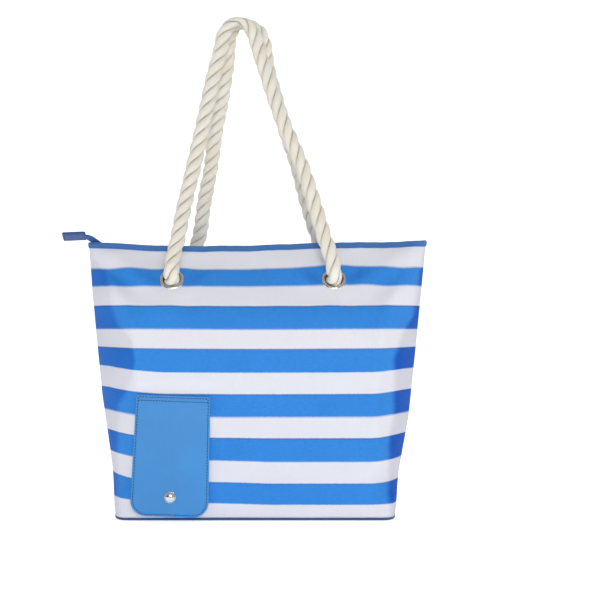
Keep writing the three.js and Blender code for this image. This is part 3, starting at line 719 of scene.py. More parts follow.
def outlineAt(z, inset, columns):
    # points (x, depth) from the left seam to the right, evenly spaced along the cloth
    width, depth = halfWidth(z) - inset, halfDepth(z) - inset
    freely = cornerShape["loose"]
    share = freely["share"] * window(z, 0.012, 0.05, 0.30, 0.04)
    reach, flat, rounding = (
        mix(value, freely[key], share) for value, key in zip(cornerAt(z), ("reach", "flat", "rounding"))
    )
    leanLeft, leanRight = tableAt(bagLean["left"], z), tableAt(bagLean["right"], z)
    corner = []
    steps = cornerShape["steps"]
    for i in range(steps + 1):
        s = 1 - (1 - i / steps) ** 3
        corner.append((width - reach + reach * s, depth * (1 - s**flat) ** (1 / rounding)))
    dense = [(-x - leanLeft * ease(x / width) ** 2, d) for x, d in reversed(corner)]
    dense += [(x + leanRight * ease(x / width) ** 2, d) for x, d in corner]
    lengths = [0.0]
    for a, b in zip(dense, dense[1:]):
        lengths.append(lengths[-1] + math.hypot(b[0] - a[0], b[1] - a[1]))
    total, k, points = lengths[-1], 0, []
    for i in range(columns):
        want = total * i / (columns - 1)
        while k < len(lengths) - 2 and lengths[k + 1] < want:
            k += 1
        f = (want - lengths[k]) / max(1e-9, lengths[k + 1] - lengths[k])
        points.append((mix(dense[k][0], dense[k + 1][0], f), mix(dense[k][1], dense[k + 1][1], f), want - total / 2))
    return points


mouthLine = (  # rise and fall of the mouth's edge
    (-0.228, -0.0010), (-0.19, -0.0012), (-0.137, -0.0022), (-0.09, -0.0016), (-0.036, -0.0006), (0.0, 0.0003),
    (0.056, 0.0022), (0.112, 0.0030), (0.152, 0.0017), (0.19, 0.0010), (0.228, 0.0012),
)


def lift(x, z):
    wave = tableAt(mouthLine, x) + 0.0003 * math.sin(x * 97)
    corner = bagShape["cornerLift"] * (x / bagShape["mouthHalf"]) ** 2
    return corner * (z / bagShape["height"]) ** 2 + wave * ease((z - 0.27) / 0.09)


def eyeletPoint(side, x, out):
    slope = (halfDepth(eyelets["level"] + 0.001) - halfDepth(eyelets["level"] - 0.001)) / 0.002
    length = math.hypot(1, slope)
    y = side * halfDepth(eyelets["level"])
    return Vector((x, y + side * out / length, eyelets["level"] + eyelets["rise"] - slope * out / length))


folds = {
    "columns": 211,
    "rows": 141,
    "thickness": 0.0017,
    "sag": 0.0022,
    "ripple": 0.0011,
    "crease": 0.0026,
    "ridge": 0.0014,  # where the front turns to the side
    "pleat": 0.0011,  # over the boxed base corners
    "eyeletWave": 0.0012,
    "eyeletPull": 0.0014,
    "clamped": -0.0002,  # how deep the metal parts press the cloth
    "topEdge": 0.3575,
}
cornerFold = {"x": 0.222, "z": 0.345, "way": (-0.80, -0.60), "width": 0.012, "ridgeShift": 0.019, "ridgeWidth": 0.010}
flapSeat = {"x": -0.1085, "z": 0.158, "halfX": 0.05, "halfZ": 0.008, "soft": 0.02}  # flat under the flap's seam


def cornerFoldDepth(x, z, hand):
    # a soft fold from each top corner down to the shoulder, and its ridge
    wayX, wayZ = cornerFold["way"]
    dx, dz = hand * x - cornerFold["x"], z - cornerFold["z"]
    along = dx * wayX + dz * wayZ
    off = dx * wayZ - dz * wayX
    sunk = hump(off, cornerFold["width"]) * window(along, 0.0, 0.03, 0.105, 0.05)
    raised = hump(off - cornerFold["ridgeShift"], cornerFold["ridgeWidth"]) * window(along, 0.0, 0.03, 0.1, 0.05)
    return folds["crease"] * (0.7 * raised - sunk)


def eyeletFold(x, z, spot, out):
    # the pull round one eyelet, flat under its ring
    dx, dz = x - spot, z - eyelets["level"] - 0.001
    r = math.hypot(dx, dz)
    if r >= 0.12:
        return out
    angle = math.atan2(dz, dx)
    out += folds["eyeletWave"] * hump(r - 0.034, 0.020) * math.cos(4 * angle + 0.6) * ease((r - 0.019) / 0.02)
    out += folds["eyeletPull"] * hump(dx, 0.010) * window(dz, 0.0, 0.02, 0.045, 0.02)
    return out * ease((r - 0.018) / 0.012)


def flattened(x, z, out):
    # flat where the tap's ring and the snap's stud clamp the cloth, and under the flap's seam
    for part, flat, soft, reach in ((port, 0.034, 0.03, 0.07), (stud, 0.007, 0.02, 0.03)):
        r = math.hypot(x - part["x"], z - part["z"])
        if r < reach:
            out = mix(folds["clamped"], out, ease((r - flat) / soft))
    dx, dz = abs(x - flapSeat["x"]), abs(z - flapSeat["z"])
    soft = flapSeat["soft"]
    if dx < flapSeat["halfX"] + soft and dz < flapSeat["halfZ"] + soft + 0.002:
        near = (1 - ease((dx - flapSeat["halfX"]) / soft)) * (1 - ease((dz - flapSeat["halfZ"]) / soft))
        out = mix(out, min(out, 0.0), near)
    return out


def foldDepth(x, z, side):
    # how far the cloth stands out from, or sinks below, its plain shape
    w = halfWidth(z)
    edge = abs(x) / w
    out = folds["sag"] * math.sin(math.pi * clamp(z / 0.28)) * (1 - edge**4)
    seed = Vector((x * 9, z * 11, side * 7.3))
    out += folds["ripple"] * noise.noise(seed) * (0.5 + edge)
    out += 0.5 * folds["ripple"] * noise.noise(seed * 3.1 + Vector((5, 1, 2)))
    out += 0.22 * folds["ripple"] * noise.noise(Vector((x * 120, z * 45, side * 3.0)))
    for hand in (-1, 1):
        out += cornerFoldDepth(x, z, hand)
        ridge = w - cornerAt(z)[0] * 0.95
        out += folds["ridge"] * hump(hand * x - ridge, 0.009) * window(z, 0.02, 0.06, 0.31, 0.05)
        pleat = (hand * x - (0.181 - 0.12 * z)) * 0.9
        out += folds["pleat"] * hump(pleat, 0.006) * ease((0.075 - z) / 0.05)
    for spot in eyelets["front" if side < 0 else "back"]:
        out = eyeletFold(x, z, spot, out)
    if side < 0:
        out = flattened(x, z, out)
    out *= ease((w - abs(x)) / 0.02) * 0.85 + 0.15
    return out * window(z, 0.0, 0.012, folds["topEdge"], 0.008)


stripeShift = {
    "eyelets": ((0.0006, 0.0028), (0.0032, 0.0034)),  # pulled up left and right of each eyelet
    "mouthDroop": 0.0032,
    "leftClimb": 0.0062,
    "rightClimb": 0.0026,
    "lowClimb": 0.0042,
}


def stripePull(x, z, side):
    # the eyelets pull the cloth, and its stripes, up a little
    pull = 0.0
    for spot, (left, right) in zip(eyelets["front" if side < 0 else "back"], stripeShift["eyelets"]):
        strength = left if x < spot else right
        pull += strength * hump(x - spot, 0.030 if x < spot else 0.036) * hump(z - 0.328, 0.012)
    edge = abs(x) / halfWidth(z)
    pull -= stripeShift["mouthDroop"] * edge**5 * ease((z - 0.19) / 0.08) * (0.6 + 0.4 * ease((0.34 - z) / 0.02))
    # the lower stripes climb towards the side seams
    left = clamp((-0.122 - x) / 0.075) ** 1.3
    right = clamp((x - 0.150) / 0.042) ** 1.3
    low = clamp((0.01 - x) / 0.19) ** 0.7
    climb = stripeShift["leftClimb"] * left + stripeShift["rightClimb"] * right
    return pull + climb * ease((0.232 - z) / 0.03) + stripeShift["lowClimb"] * low * ease((0.13 - z) / 0.05)


sideShadeReach = {  # how wide the painted side shade is, by height, and how soft its edge
    "left": (
        (0.0, 0.004), (0.035, 0.008), (0.093, 0.014), (0.15, 0.022), (0.185, 0.046), (0.21, 0.052), (0.235, 0.050),
        (0.255, 0.033), (0.29, 0.026), (0.325, 0.024), (0.345, 0.0),
    ),
    "right": (
        (0.0, 0.012), (0.035, 0.020), (0.093, 0.025), (0.15, 0.024), (0.21, 0.030), (0.24, 0.024), (0.265, 0.008),
        (0.36, 0.0),
    ),
    "strength": {"left": 0.62, "right": 1.0},
}


def paintedSideShade(x, z, side):
    # painted shade: cloth folded round to the side is darkened more than the face
    if side > 0:
        x = -x
    hand = "left" if x < 0 else "right"
    w = halfWidth(z)
    wide = tableAt(sideShadeReach[hand], z) + 0.003 * noise.noise(Vector((x * 12, z * 40, side * 2.0)))
    soft = 0.004 if hand == "left" and 0.19 < z < 0.24 else 0.011
    tone = ease((abs(x) - (w - wide) + soft / 2) / soft)
    # painted shade of soft diagonal folds under the left corner and beside the eyelets
    if hand == "left":
        off = (x + 0.195) * 0.50 + (z - 0.318) * 0.86
        tone = max(tone, 0.55 * hump(off, 0.007) * ease((x + 0.228) / 0.012) * ease((-0.155 - x) / 0.03))
    for spot in eyelets["front"]:
        off = (z - 0.306) - abs(x - spot) * 0.42
        tone = max(tone, 0.38 * hump(off, 0.007) * hump(abs(x - spot) - 0.030, 0.016))
    tone *= sideShadeReach["strength"][hand]
    return clamp(tone + 0.10 * noise.noise(Vector((x * 22, z * 30, side * 3.1))))


def panelGrid(side, inset, lowest, highest, rows, columns):
    points, cloth, sideShades = [], [], []
    for i in range(rows):
        z = mix(lowest, highest, i / (rows - 1))
        line = outlineAt(z, inset, columns)
        for j, (x, depth, along) in enumerate(line):
            before, after = line[max(0, j - 1)], line[min(columns - 1, j + 1)]
            dx, dd = after[0] - before[0], after[1] - before[1]
            size = math.hypot(dx, dd)
            slope = (halfDepth(z + 0.002) - halfDepth(max(0.001, z - 0.002))) / (0.002 + min(0.002, z - 0.001))
            normal = Vector((-dd / size, dx / size, -slope * dx / size)).normalized()
            out = foldDepth(x, z, side)
            px, pd, pz = x + normal.x * out, depth + normal.y * out, z + lift(x, z) + normal.z * out
            points.append((px, side * max(pd, nearest), pz))
            cloth.append((along, z - stripePull(x, z, side)))
            sideShades.append(paintedSideShade(x, z, side))
    return points, cloth, sideShades


def cutHoles(piece, tools):
    for index, tool in enumerate(tools):
        cut = piece.modifiers.new(f"cut{index}", "BOOLEAN")
        cut.operation = "DIFFERENCE"
        cut.solver = "EXACT"
        cut.object = tool
    settle(piece)
    for tool in tools:
        bpy.data.objects.remove(tool)


def cutter(work):
    data = bpy.data.meshes.new("tool")
    work.to_mesh(data)
    work.free()
    tool = bpy.data.objects.new("tool", data)
    scene.collection.objects.link(tool)
    return tool


def rodTool(start, end, radius, sides=64):
    work = bmesh.new()
    length = (end - start).length
    bmesh.ops.create_cone(work, cap_ends=True, segments=sides, radius1=radius, radius2=radius, depth=length)
    turn = (end - start).to_track_quat("Z", "Y").to_matrix().to_4x4()
    work.transform(Matrix.Translation((start + end) / 2) @ turn)
    return cutter(work)


def boxTool(low, high):
    work = bmesh.new()
    bmesh.ops.create_cube(work, size=1.0)
    for v in work.verts:
        v.co = Vector([mix(a, b, c + 0.5) for a, b, c in zip(low, high, v.co)])
    return cutter(work)


def makePanel(name, side, inset, material, low, high, thickness, rows, columns):
    points, cloth, sideShades = panelGrid(side, inset, low, high, rows, columns)
    faces = gridFaces(rows, columns)
    if side > 0:
        faces = [tuple(reversed(f)) for f in faces]
    # the 'deep' attribute holds the painted side shade
    piece = addPiece(name, points, faces, material, lambda face, index: cloth[index], {"deep": sideShades})
    wall = piece.modifiers.new("wall", "SOLIDIFY")
    wall.thickness = thickness
    wall.offset = -1.0
    tools = []
    for x in eyelets["front" if side < 0 else "back"]:
        tools.append(rodTool(eyeletPoint(side, x, -0.02), eyeletPoint(side, x, 0.02), eyelets["hole"]))
    if side < 0:
        for part, sides in ((port, 64), (stud, 24)):
            middle = Vector((part["x"], -0.068, part["z"]))
            inner, outer = middle + Vector((0, 0.012, 0)), middle - Vector((0, 0.014, 0))
            tools.append(rodTool(inner, outer, part["hole"], sides))
    cutHoles(piece, tools)
    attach(piece, "bag")
    return piece


canvasCut = (0.0, look["canvas"], 0.0035, 0.3585, folds["thickness"], folds["rows"], folds["columns"])
liningCut = (0.0027, look["lining"], 0.0080, 0.3545, 0.0006, 71, 121)
front = makePanel("canvasFront", -1, *canvasCut)
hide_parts("front_panel")
back = makePanel("canvasBack", 1, *canvasCut)
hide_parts("back_panel")
liningFront = makePanel("liningFront", -1, *liningCut)
liningBack = makePanel("liningBack", 1, *liningCut)
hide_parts("lining")
print("canvas and lining made")


ropeShape = {
    "outer": 0.0106,
    "valley": 0.0060,
    "lay": {"front": (0.057, 0.067), "back": (0.048, 0.060)},  # at the left end and the right end
    "pinch": 0.64,  # thickness left where the rope bends over its peg
    "pinchReach": 0.017,
    "sides": 60,
    "step": 0.0014,
    "fullness": 0.50,
    "yarns": 5,
    "yarnDepth": 0.00028,
    "inside": -0.008,  # the rope starts this far behind its eyelet, in its knot
}
ropeRoutes = {
    "front": [
        (-112, -51.5, 341), (-105.5, -47.5, 370), (-97.5, -41.5, 412), (-85, -34.5, 466), (-71, -26.5, 531),
        (-57, -18.5, 597), (-48.8, -13.8, 629), (-46.5, -12.2, 642), (-42, -11, 654.5), (-34.5, -10.6, 663),
        (-25, -10.6, 666.5), (-15.5, -10.6, 663.5), (-7.5, -11, 654.5), (-1.5, -12.2, 642), (2, -13.8, 629),
        (11.5, -18.5, 599), (20, -21.5, 572), (34, -26.5, 531), (61, -34.5, 466), (78, -41.5, 412),
        (90.5, -47.5, 370), (100, -51.5, 341),
    ],
    "back": [
        (-96, 51.5, 341), (-81.5, 47.5, 373), (-72.5, 40, 428), (-63.8, 34, 472), (-58, 28.5, 515),
        (-47.5, 21.5, 570), (-41, 16, 610), (-39.2, 13, 632), (-38.2, 11.8, 645), (-34.5, 11, 656.5),
        (-27, 10.6, 664), (-16, 10.6, 666.5), (-7, 10.6, 664.5), (0, 11, 659.5), (6, 11.5, 651),
        (9.5, 12.3, 640), (11.5, 13.2, 630), (15, 16, 607), (25.5, 21.5, 570), (42, 28.5, 515),
        (56.5, 34, 472), (68, 40, 428), (86, 47.5, 373), (104, 51.5, 341),
    ],
}


def smoothLine(points, step, closed=False):
    # a curve through the points, cut into even steps
    count = len(points)
    dense = []
    spans = count if closed else count - 1
    for i in range(spans):
        if closed:
            a, b, c, d = (points[(i + k - 1) % count] for k in range(4))
        else:
            b, c = points[i], points[i + 1]
            a = points[i - 1] if i else b * 2 - c
            d = points[i + 2] if i + 2 < count else c * 2 - b
        ta, tb, tc = (max(1e-5, (q - p).length ** 0.5) for p, q in ((a, b), (b, c), (c, d)))
        m1 = (c - b) + tb * ((b - a) / ta - (c - a) / (ta + tb))
        m2 = (c - b) + tb * ((d - c) / tc - (d - b) / (tb + tc))
        pieces = max(4, int((c - b).length / step) * 3)
        for k in range(pieces):
            t = k / pieces
            h = (2 * t**3 - 3 * t**2 + 1, t**3 - 2 * t**2 + t, -2 * t**3 + 3 * t**2, t**3 - t**2)
            dense.append(b * h[0] + m1 * h[1] + c * h[2] + m2 * h[3])
    dense.append(points[0] if closed else points[-1])
    lengths = [0.0]
    for a, b in zip(dense, dense[1:]):
        lengths.append(lengths[-1] + (b - a).length)
    total = lengths[-1]
    steps = max(2, round(total / step))
    line, k = [], 0
    for i in range(steps + 1):
        want = total * i / steps
        while k < len(lengths) - 2 and lengths[k + 1] < want:
            k += 1
        f = (want - lengths[k]) / max(1e-9, lengths[k + 1] - lengths[k])
        line.append(dense[k].lerp(dense[k + 1], clamp(f)))
    return line, total


def carryFrames(line, closed=False):
    # directions across the line that never spin about it
    count = len(line)
    tangents = []
    for i in range(count):
        a = line[max(0, i - 1)] if not closed or i else line[-2]
        b = line[min(count - 1, i + 1)] if not closed or i < count - 1 else line[1]
        tangents.append((b - a).normalized())
    side = tangents[0].orthogonal().normalized()
    frames = []
    for i, way in enumerate(tangents):
        if i:
            side = tangents[i - 1].rotation_difference(way) @ side
        side = (side - way * side.dot(way)).normalized()
        frames.append((side, way.cross(side), way))
    return frames


def twistedRope(name, line, total, lays, scale=1.0, closed=False, seed=0.0, peak=None):
    sides, yarns = ropeShape["sides"], ropeShape["yarns"]
    frames = carryFrames(line, closed)
    turns, spins = 0.0, []
    for i in range(len(line)):
        spins.append(turns)
        turns += total / (len(line) - 1) / (mix(*lays, ease(i / len(line))) * scale)
    turns = spins[-1]
    if closed:
        spins = [s * round(turns * 3) / 3 / turns for s in spins]
        turns = spins[-1]
    points, cloth, groove = [], [], []
    rings = len(line) - 1 if closed else len(line)
    perStrand = sides // 3
    for i in range(rings):
        along = total * i / (len(line) - 1)
        spin = 2 * math.pi * spins[i]
        u, v, _ = frames[i]
        squeeze = 0.0
        if peak:
            squeeze = (1 - ropeShape["pinch"]) * hump((line[i] - peak).length, ropeShape["pinchReach"])
        for j in range(sides):
            strand, step = divmod(j, perStrand)
            d = 2 * step / perStrand - 1  # across one strand, from groove to groove
            full = max(0.0, 1 - d * d) ** ropeShape["fullness"]
            swell = 1 + 0.06 * noise.noise(Vector((along * 70 / scale, strand * 5.1, seed)))
            r = (ropeShape["valley"] + (ropeShape["outer"] - ropeShape["valley"]) * full * swell) * scale
            r *= 1 + 0.03 * noise.noise(Vector((along * 28 / scale, 3.3, seed)))
            phase = math.asin(clamp(d, -1, 1)) * yarns * 0.9 + along / scale * 200 + strand
            r -= ropeShape["yarnDepth"] * scale * full * (0.5 + 0.5 * math.cos(phase * 2)) ** 2
            angle = spin + (strand + (d + 1) / 2) * 2 * math.pi / 3
            offset = (u * math.cos(angle) + v * math.sin(angle)) * r
            if squeeze:
                # flatter towards the peg, wider along it
                deep = Vector((0, offset.y, 0))
                offset = (offset - deep) * (1 - squeeze) + deep * (1 + 0.45 * squeeze)
            points.append(line[i] + offset)
            cloth.append((along / scale, math.asin(clamp(d, -1, 1)) / math.pi))
            # how far into a groove between strands, for the rope's painted shade
            groove.append(1 - full)
    faces = gridFaces(rings, sides, wrap=True)
    if closed:
        last = (rings - 1) * sides
        # the closing ring is turned by the whole number of strands it has gained
        gained = round(turns * 3) % 3 * perStrand
        spinLeft = frames[-1][0].angle(frames[0][0])
        if frames[-1][0].dot(frames[0][1]) < 0:
            spinLeft = -spinLeft
        gained += round(spinLeft / (2 * math.pi) * sides)
        for j in range(sides):
            k = (j + 1) % sides
            faces.append((last + j, last + k, (k + gained) % sides, (j + gained) % sides))
    else:
        for ring, flip in ((0, True), (rings - 1, False)):
            centre = len(points)
            points.append(line[0] if flip else line[-1])
            cloth.append((0, 0))
            groove.append(0.5)
            for j in range(sides):
                a, b = ring * sides + j, ring * sides + (j + 1) % sides
                faces.append((b, a, centre) if flip else (a, b, centre))
    return addPiece(name, points, faces, look["rope"], lambda face, index: cloth[index], {"groove": groove})


def makeHandle(face, side):
    spots = eyelets[face]
    ends = [[eyeletPoint(side, x, out / 1000) for out in (ropeShape["inside"] * 1000, 2, 13)] for x in spots]
    route = ends[0] + [Vector(p) / 1000 for p in ropeRoutes[face]] + ends[1][::-1]
    line, total = smoothLine(route, ropeShape["step"])
    peak = max(line, key=lambda p: p.z)
    rope = twistedRope(f"{face}Rope", line, total, ropeShape["lay"][face], seed=side * 3.7, peak=peak)
    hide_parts(f"{face}_rope_handle")
    eyeletPoint(side, 0, 0.0015)
    eyeletPoint(side, 0, 0.026)
    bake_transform(rope)
    path = line[: len(line) - 2 : 4] + [line[-1]]
    eyeletPoint(side, spots[0], 0.0)
    [tuple(p) for p in path]
    print(f"{face} rope: {total:.3f} m")


makeHandle("front", -1)
makeHandle("back", 1)


knotShape = {
    "depth": 0.0215,
    "level": 0.298,
    "size": 0.0041,
    "flat": 0.8,
    "tall": 1.9,
    "points": 48,
    "lay": (0.05, 0.05),
    "thin": 0.82,
    "neckThin": 0.97,
}


def makeKnot(face, side, hand, x):
    # an overhand stopper knot pulled tight against the inside of the eyelet
    middle = Vector((x, side * knotShape["depth"], knotShape["level"]))
    size, lay = knotShape["size"], knotShape["lay"]
    loop = []
    for i in range(knotShape["points"]):
        t = 2 * math.pi * i / knotShape["points"]
        across = (math.sin(t) + 2 * math.sin(2 * t)) * size
        deep = (math.cos(t) - 2 * math.cos(2 * t)) * size * knotShape["flat"]
        loop.append(middle + Vector((across, deep, -math.sin(3 * t) * size * knotShape["tall"])))
    line, total = smoothLine(loop, 0.0018, closed=True)
    knot = twistedRope(f"knot_{face}_{hand}", line, total, lay, scale=knotShape["thin"], closed=True, seed=x * 9)
    halfWay = middle.lerp(eyeletPoint(side, x, ropeShape["inside"]), 0.5)
    neckLine, neck = smoothLine([middle, halfWay, eyeletPoint(side, x, -0.006)], 0.0015)
    stub = twistedRope("stub", neckLine, neck, lay, scale=knotShape["neckThin"])
    knot = joinPieces(knot.name, [knot, stub])
    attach(knot, "bag")
    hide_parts(f"rope_knot_{face}_{hand}")


for face, side in (("front", -1), ("back", 1)):
    for hand, x in zip(("left", "right"), eyelets[face]):
        makeKnot(face, side, hand, x)
print("ropes and knots made")


def makeRepeatTree():
    # small rounded pieces strung evenly along a line
    tree = bpy.data.node_groups.new("repeatAlongLine", "GeometryNodeTree")
    face = tree.interface
    sockets = {}
    wanted = (
        ("Geometry", "NodeSocketGeometry"), ("Pitch", "NodeSocketFloat"), ("Across", "NodeSocketFloat"),
        ("High", "NodeSocketFloat"), ("Along", "NodeSocketFloat"), ("Up", "NodeSocketVector"),
        ("Wander", "NodeSocketFloat"), ("Finish", "NodeSocketMaterial"),
    )
    for label, kind in wanted:
        sockets[label] = face.new_socket(label, in_out="INPUT", socket_type=kind).identifier
    face.new_socket("Geometry", in_out="OUTPUT", socket_type="NodeSocketGeometry")
    web = Web(tree)
    given = web.add("NodeGroupInput").outputs
    curve = web.add("GeometryNodeMeshToCurve")
    web.feed(curve.inputs["Mesh"], given["Geometry"])
    even = web.add("GeometryNodeResampleCurve", mode="LENGTH")
    web.feed(even.inputs["Curve"], curve.outputs[0])
    web.feed(even.inputs["Length"], given["Pitch"])
    tangent = web.add("GeometryNodeInputTangent").outputs[0]
    first = web.add("FunctionNodeAlignRotationToVector", axis="Z")
    web.feed(first.inputs["Vector"], tangent)
    second = web.add("FunctionNodeAlignRotationToVector", axis="Y", pivot_axis="Z")
    web.feed(second.inputs["Rotation"], first.outputs[0])
    web.feed(second.inputs["Vector"], given["Up"])
    bead = web.add("GeometryNodeMeshUVSphere")
    bead.inputs["Segments"].default_value = 8
    bead.inputs["Rings"].default_value = 5
    bead.inputs["Radius"].default_value = 0.5
    size = web.add("ShaderNodeCombineXYZ")
    for index, label in enumerate(("Across", "High", "Along")):
        web.feed(size.inputs[index], given[label])
    shaped = web.add("GeometryNodeTransform")
    web.feed(shaped.inputs["Geometry"], bead.outputs[0])
    web.feed(shaped.inputs["Scale"], size.outputs[0])
    smooth = web.add("GeometryNodeSetShadeSmooth")
    web.feed(smooth.inputs["Geometry"], shaped.outputs[0])
    change = web.add("FunctionNodeRandomValue", data_type="FLOAT")
    web.feed(change.inputs[2], web.math("SUBTRACT", 1.0, given["Wander"]))
    web.feed(change.inputs[3], web.math("ADD", 1.0, given["Wander"]))
    change.inputs["Seed"].default_value = 7
    place = web.add("GeometryNodeInstanceOnPoints")
    web.feed(place.inputs["Points"], even.outputs[0])
    web.feed(place.inputs["Instance"], smooth.outputs[0])
    web.feed(place.inputs["Rotation"], second.outputs[0])
    web.feed(place.inputs["Scale"], change.outputs[1])
    real = web.add("GeometryNodeRealizeInstances")
    web.feed(real.inputs[0], place.outputs[0])
    finish = web.add("GeometryNodeSetMaterial")
    web.feed(finish.inputs["Geometry"], real.outputs[0])
    web.feed(finish.inputs["Material"], given["Finish"])
    end = web.add("NodeGroupOutput")
    web.feed(end.inputs[0], finish.outputs[0])
    return tree, sockets


repeatTree, repeatSockets = makeRepeatTree()


def stringAlong(name, lines, material, pitch, across, high, along, up=(0, 0, 1), wander=0.06):
    points, edges = [], []
    for line in lines:
        edges += [(len(points) + i, len(points) + i + 1) for i in range(len(line) - 1)]
        points += [tuple(p) for p in line]
    data = bpy.data.meshes.new(name)
    data.from_pydata(points, edges, [])
    piece = bpy.data.objects.new(name, data)
    scene.collection.objects.link(piece)
    maker = piece.modifiers.new("repeat", "NODES")
    maker.node_group = repeatTree
    values = {
        "Pitch": pitch, "Across": across, "High": high, "Along": along, "Up": up, "Wander": wander, "Finish": material,
    }
    for label, value in values.items():
        maker[repeatSockets[label]] = value
    settle(piece)
    piece.data.materials.clear()
    piece.data.materials.append(material)
    piece.data.polygons.foreach_set("material_index", [0] * len(piece.data.polygons))
    return piece


def lathe(name, profile, middle, axis, material, segments=72):
    # profile runs as (radius, distance along the axis), and closes on itself
    turn = Vector((0, 0, 1)).rotation_difference(Vector(axis).normalized()).to_matrix()
    points = []
    for i in range(segments):
        a = 2 * math.pi * i / segments
        for radius, out in profile:
            points.append(Vector(middle) + turn @ Vector((radius * math.cos(a), radius * math.sin(a), out)))
    count = len(profile)
    faces = []
    for i in range(segments):
        k = (i + 1) % segments
        for j in range(count):
            n = (j + 1) % count
            faces.append((i * count + j, k * count + j, k * count + n, i * count + n))
    piece = addPiece(name, points, faces, material)
    work = bmesh.new()
    work.from_mesh(piece.data)
    bmesh.ops.remove_doubles(work, verts=work.verts, dist=1e-6)
    bmesh.ops.recalc_face_normals(work, faces=work.faces)
    work.to_mesh(piece.data)
    work.free()
    return piece


def roundProfile(points, rounds=3):
    # softens the corners of a closed profile
    for _ in range(rounds):
        softer = []
        for a, b in zip(points, points[1:] + points[:1]):
            softer.append((mix(a[0], b[0], 0.25), mix(a[1], b[1], 0.25)))
            softer.append((mix(a[0], b[0], 0.75), mix(a[1], b[1], 0.75)))
        points = softer
    return points


eyeletShape = [  # radius and height of the flanged ring, in metres
    (0.0115, -0.0032), (0.0113, 0.0004), (0.0118, 0.0017), (0.0136, 0.0025), (0.0153, 0.0020),
    (0.0165, 0.0007), (0.0165, 0.0001), (0.0150, 0.0002), (0.0127, 0.0002), (0.0125, -0.0032),
]
for face, side in (("front", -1), ("back", 1)):
    out = eyeletPoint(side, 0, 1) - eyeletPoint(side, 0, 0)
    for hand, x in zip(("left", "right"), eyelets[face]):
        profile, middle = roundProfile(eyeletShape), eyeletPoint(side, x, 0)
        ring = lathe(f"eyeletRing_{face}_{hand}", profile, middle, out, look["nickel"], 96)
        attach(ring, "bag")
        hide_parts(f"eyelet_{face}_{hand}")
print("eyelets made")


bindingShape = {
    "profile": (  # how far in from the panel's face, and the height
        (-0.0006, 0.3557), (-0.0012, 0.3566), (-0.0014, 0.3595), (-0.0012, 0.3620), (-0.0003, 0.3634), (0.0014, 0.3638),
        (0.0032, 0.3633), (0.0043, 0.3618), (0.0044, 0.3570), (0.0030, 0.3561), (0.0010, 0.3560),
    ),
    "columns": 221,
    "wave": 0.00045,
    "stitch": 0.0034,
    "stitchSize": (0.0005, 0.0004, 0.0026),
    "stitchLevel": 0.3576,
    "stitchOut": -0.0014,
}


def bindingWave(x, side):
    broad = noise.noise(Vector((x * 34, side * 2.2, 0.5)))
    fine = noise.noise(Vector((x * 90, side, 4.5)))
    return bindingShape["wave"] * (broad + 0.6 * fine)


def makeBinding(face, side):
    columns = bindingShape["columns"]
    points, cloth = [], []
    travel = 0.0
    for k, (inset, z) in enumerate(bindingShape["profile"]):
        if k:
            before = bindingShape["profile"][k - 1]
            travel += math.hypot(inset - before[0], z - before[1])
        for x, depth, along in outlineAt(z, inset, columns):
            wave = bindingWave(x, side)
            points.append((x, side * max(nearest, depth + wave * 0.8), z + lift(x, z) + wave))
            cloth.append((along, travel))
    count = len(bindingShape["profile"])
    faces = []
    for i in range(count):
        n = (i + 1) % count
        for j in range(columns - 1):
            faces.append((i * columns + j, i * columns + j + 1, n * columns + j + 1, n * columns + j))
    for j in (0, columns - 1):
        faces.append(tuple(i * columns + j for i in range(count)))
    band = addPiece(f"bindingBand_{face}", points, faces, look["binding"], lambda f, index: cloth[index])
    faceOut(band)
    level = bindingShape["stitchLevel"]
    line = []
    for x, depth, _ in outlineAt(level, bindingShape["stitchOut"], 181)[2:-2]:
        wave = bindingWave(x, side)
        line.append((x, side * (depth + wave * 0.8), level + lift(x, level) + wave))
    pitch, size = bindingShape["stitch"], bindingShape["stitchSize"]
    seam = stringAlong(f"bindingSeam_{face}", [line], look["navyThread"], pitch, *size)
    for piece in (band, seam):
        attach(piece, "bag")
    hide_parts(f"top_binding_{face}")


makeBinding("front", -1)
makeBinding("back", 1)
print("binding made")


def roundedOutline(halfX, halfY, radius, steps=8):
    points = []
    for cornerX, cornerY, start in ((1, 1, 0), (-1, 1, 90), (-1, -1, 180), (1, -1, 270)):
        for i in range(steps + 1):
            a = math.radians(start + 90 * i / steps)
            x = cornerX * (halfX - radius) + radius * math.cos(a)
            points.append((x, cornerY * (halfY - radius) + radius * math.sin(a)))
    return points


plateRings = (
    0.0, 0.0004, 0.0010, 0.0018, 0.0022, 0.0026, 0.0030, 0.0040, 0.0060, 0.0090, 0.014, 0.021, 0.030, 0.040, 0.048,
)


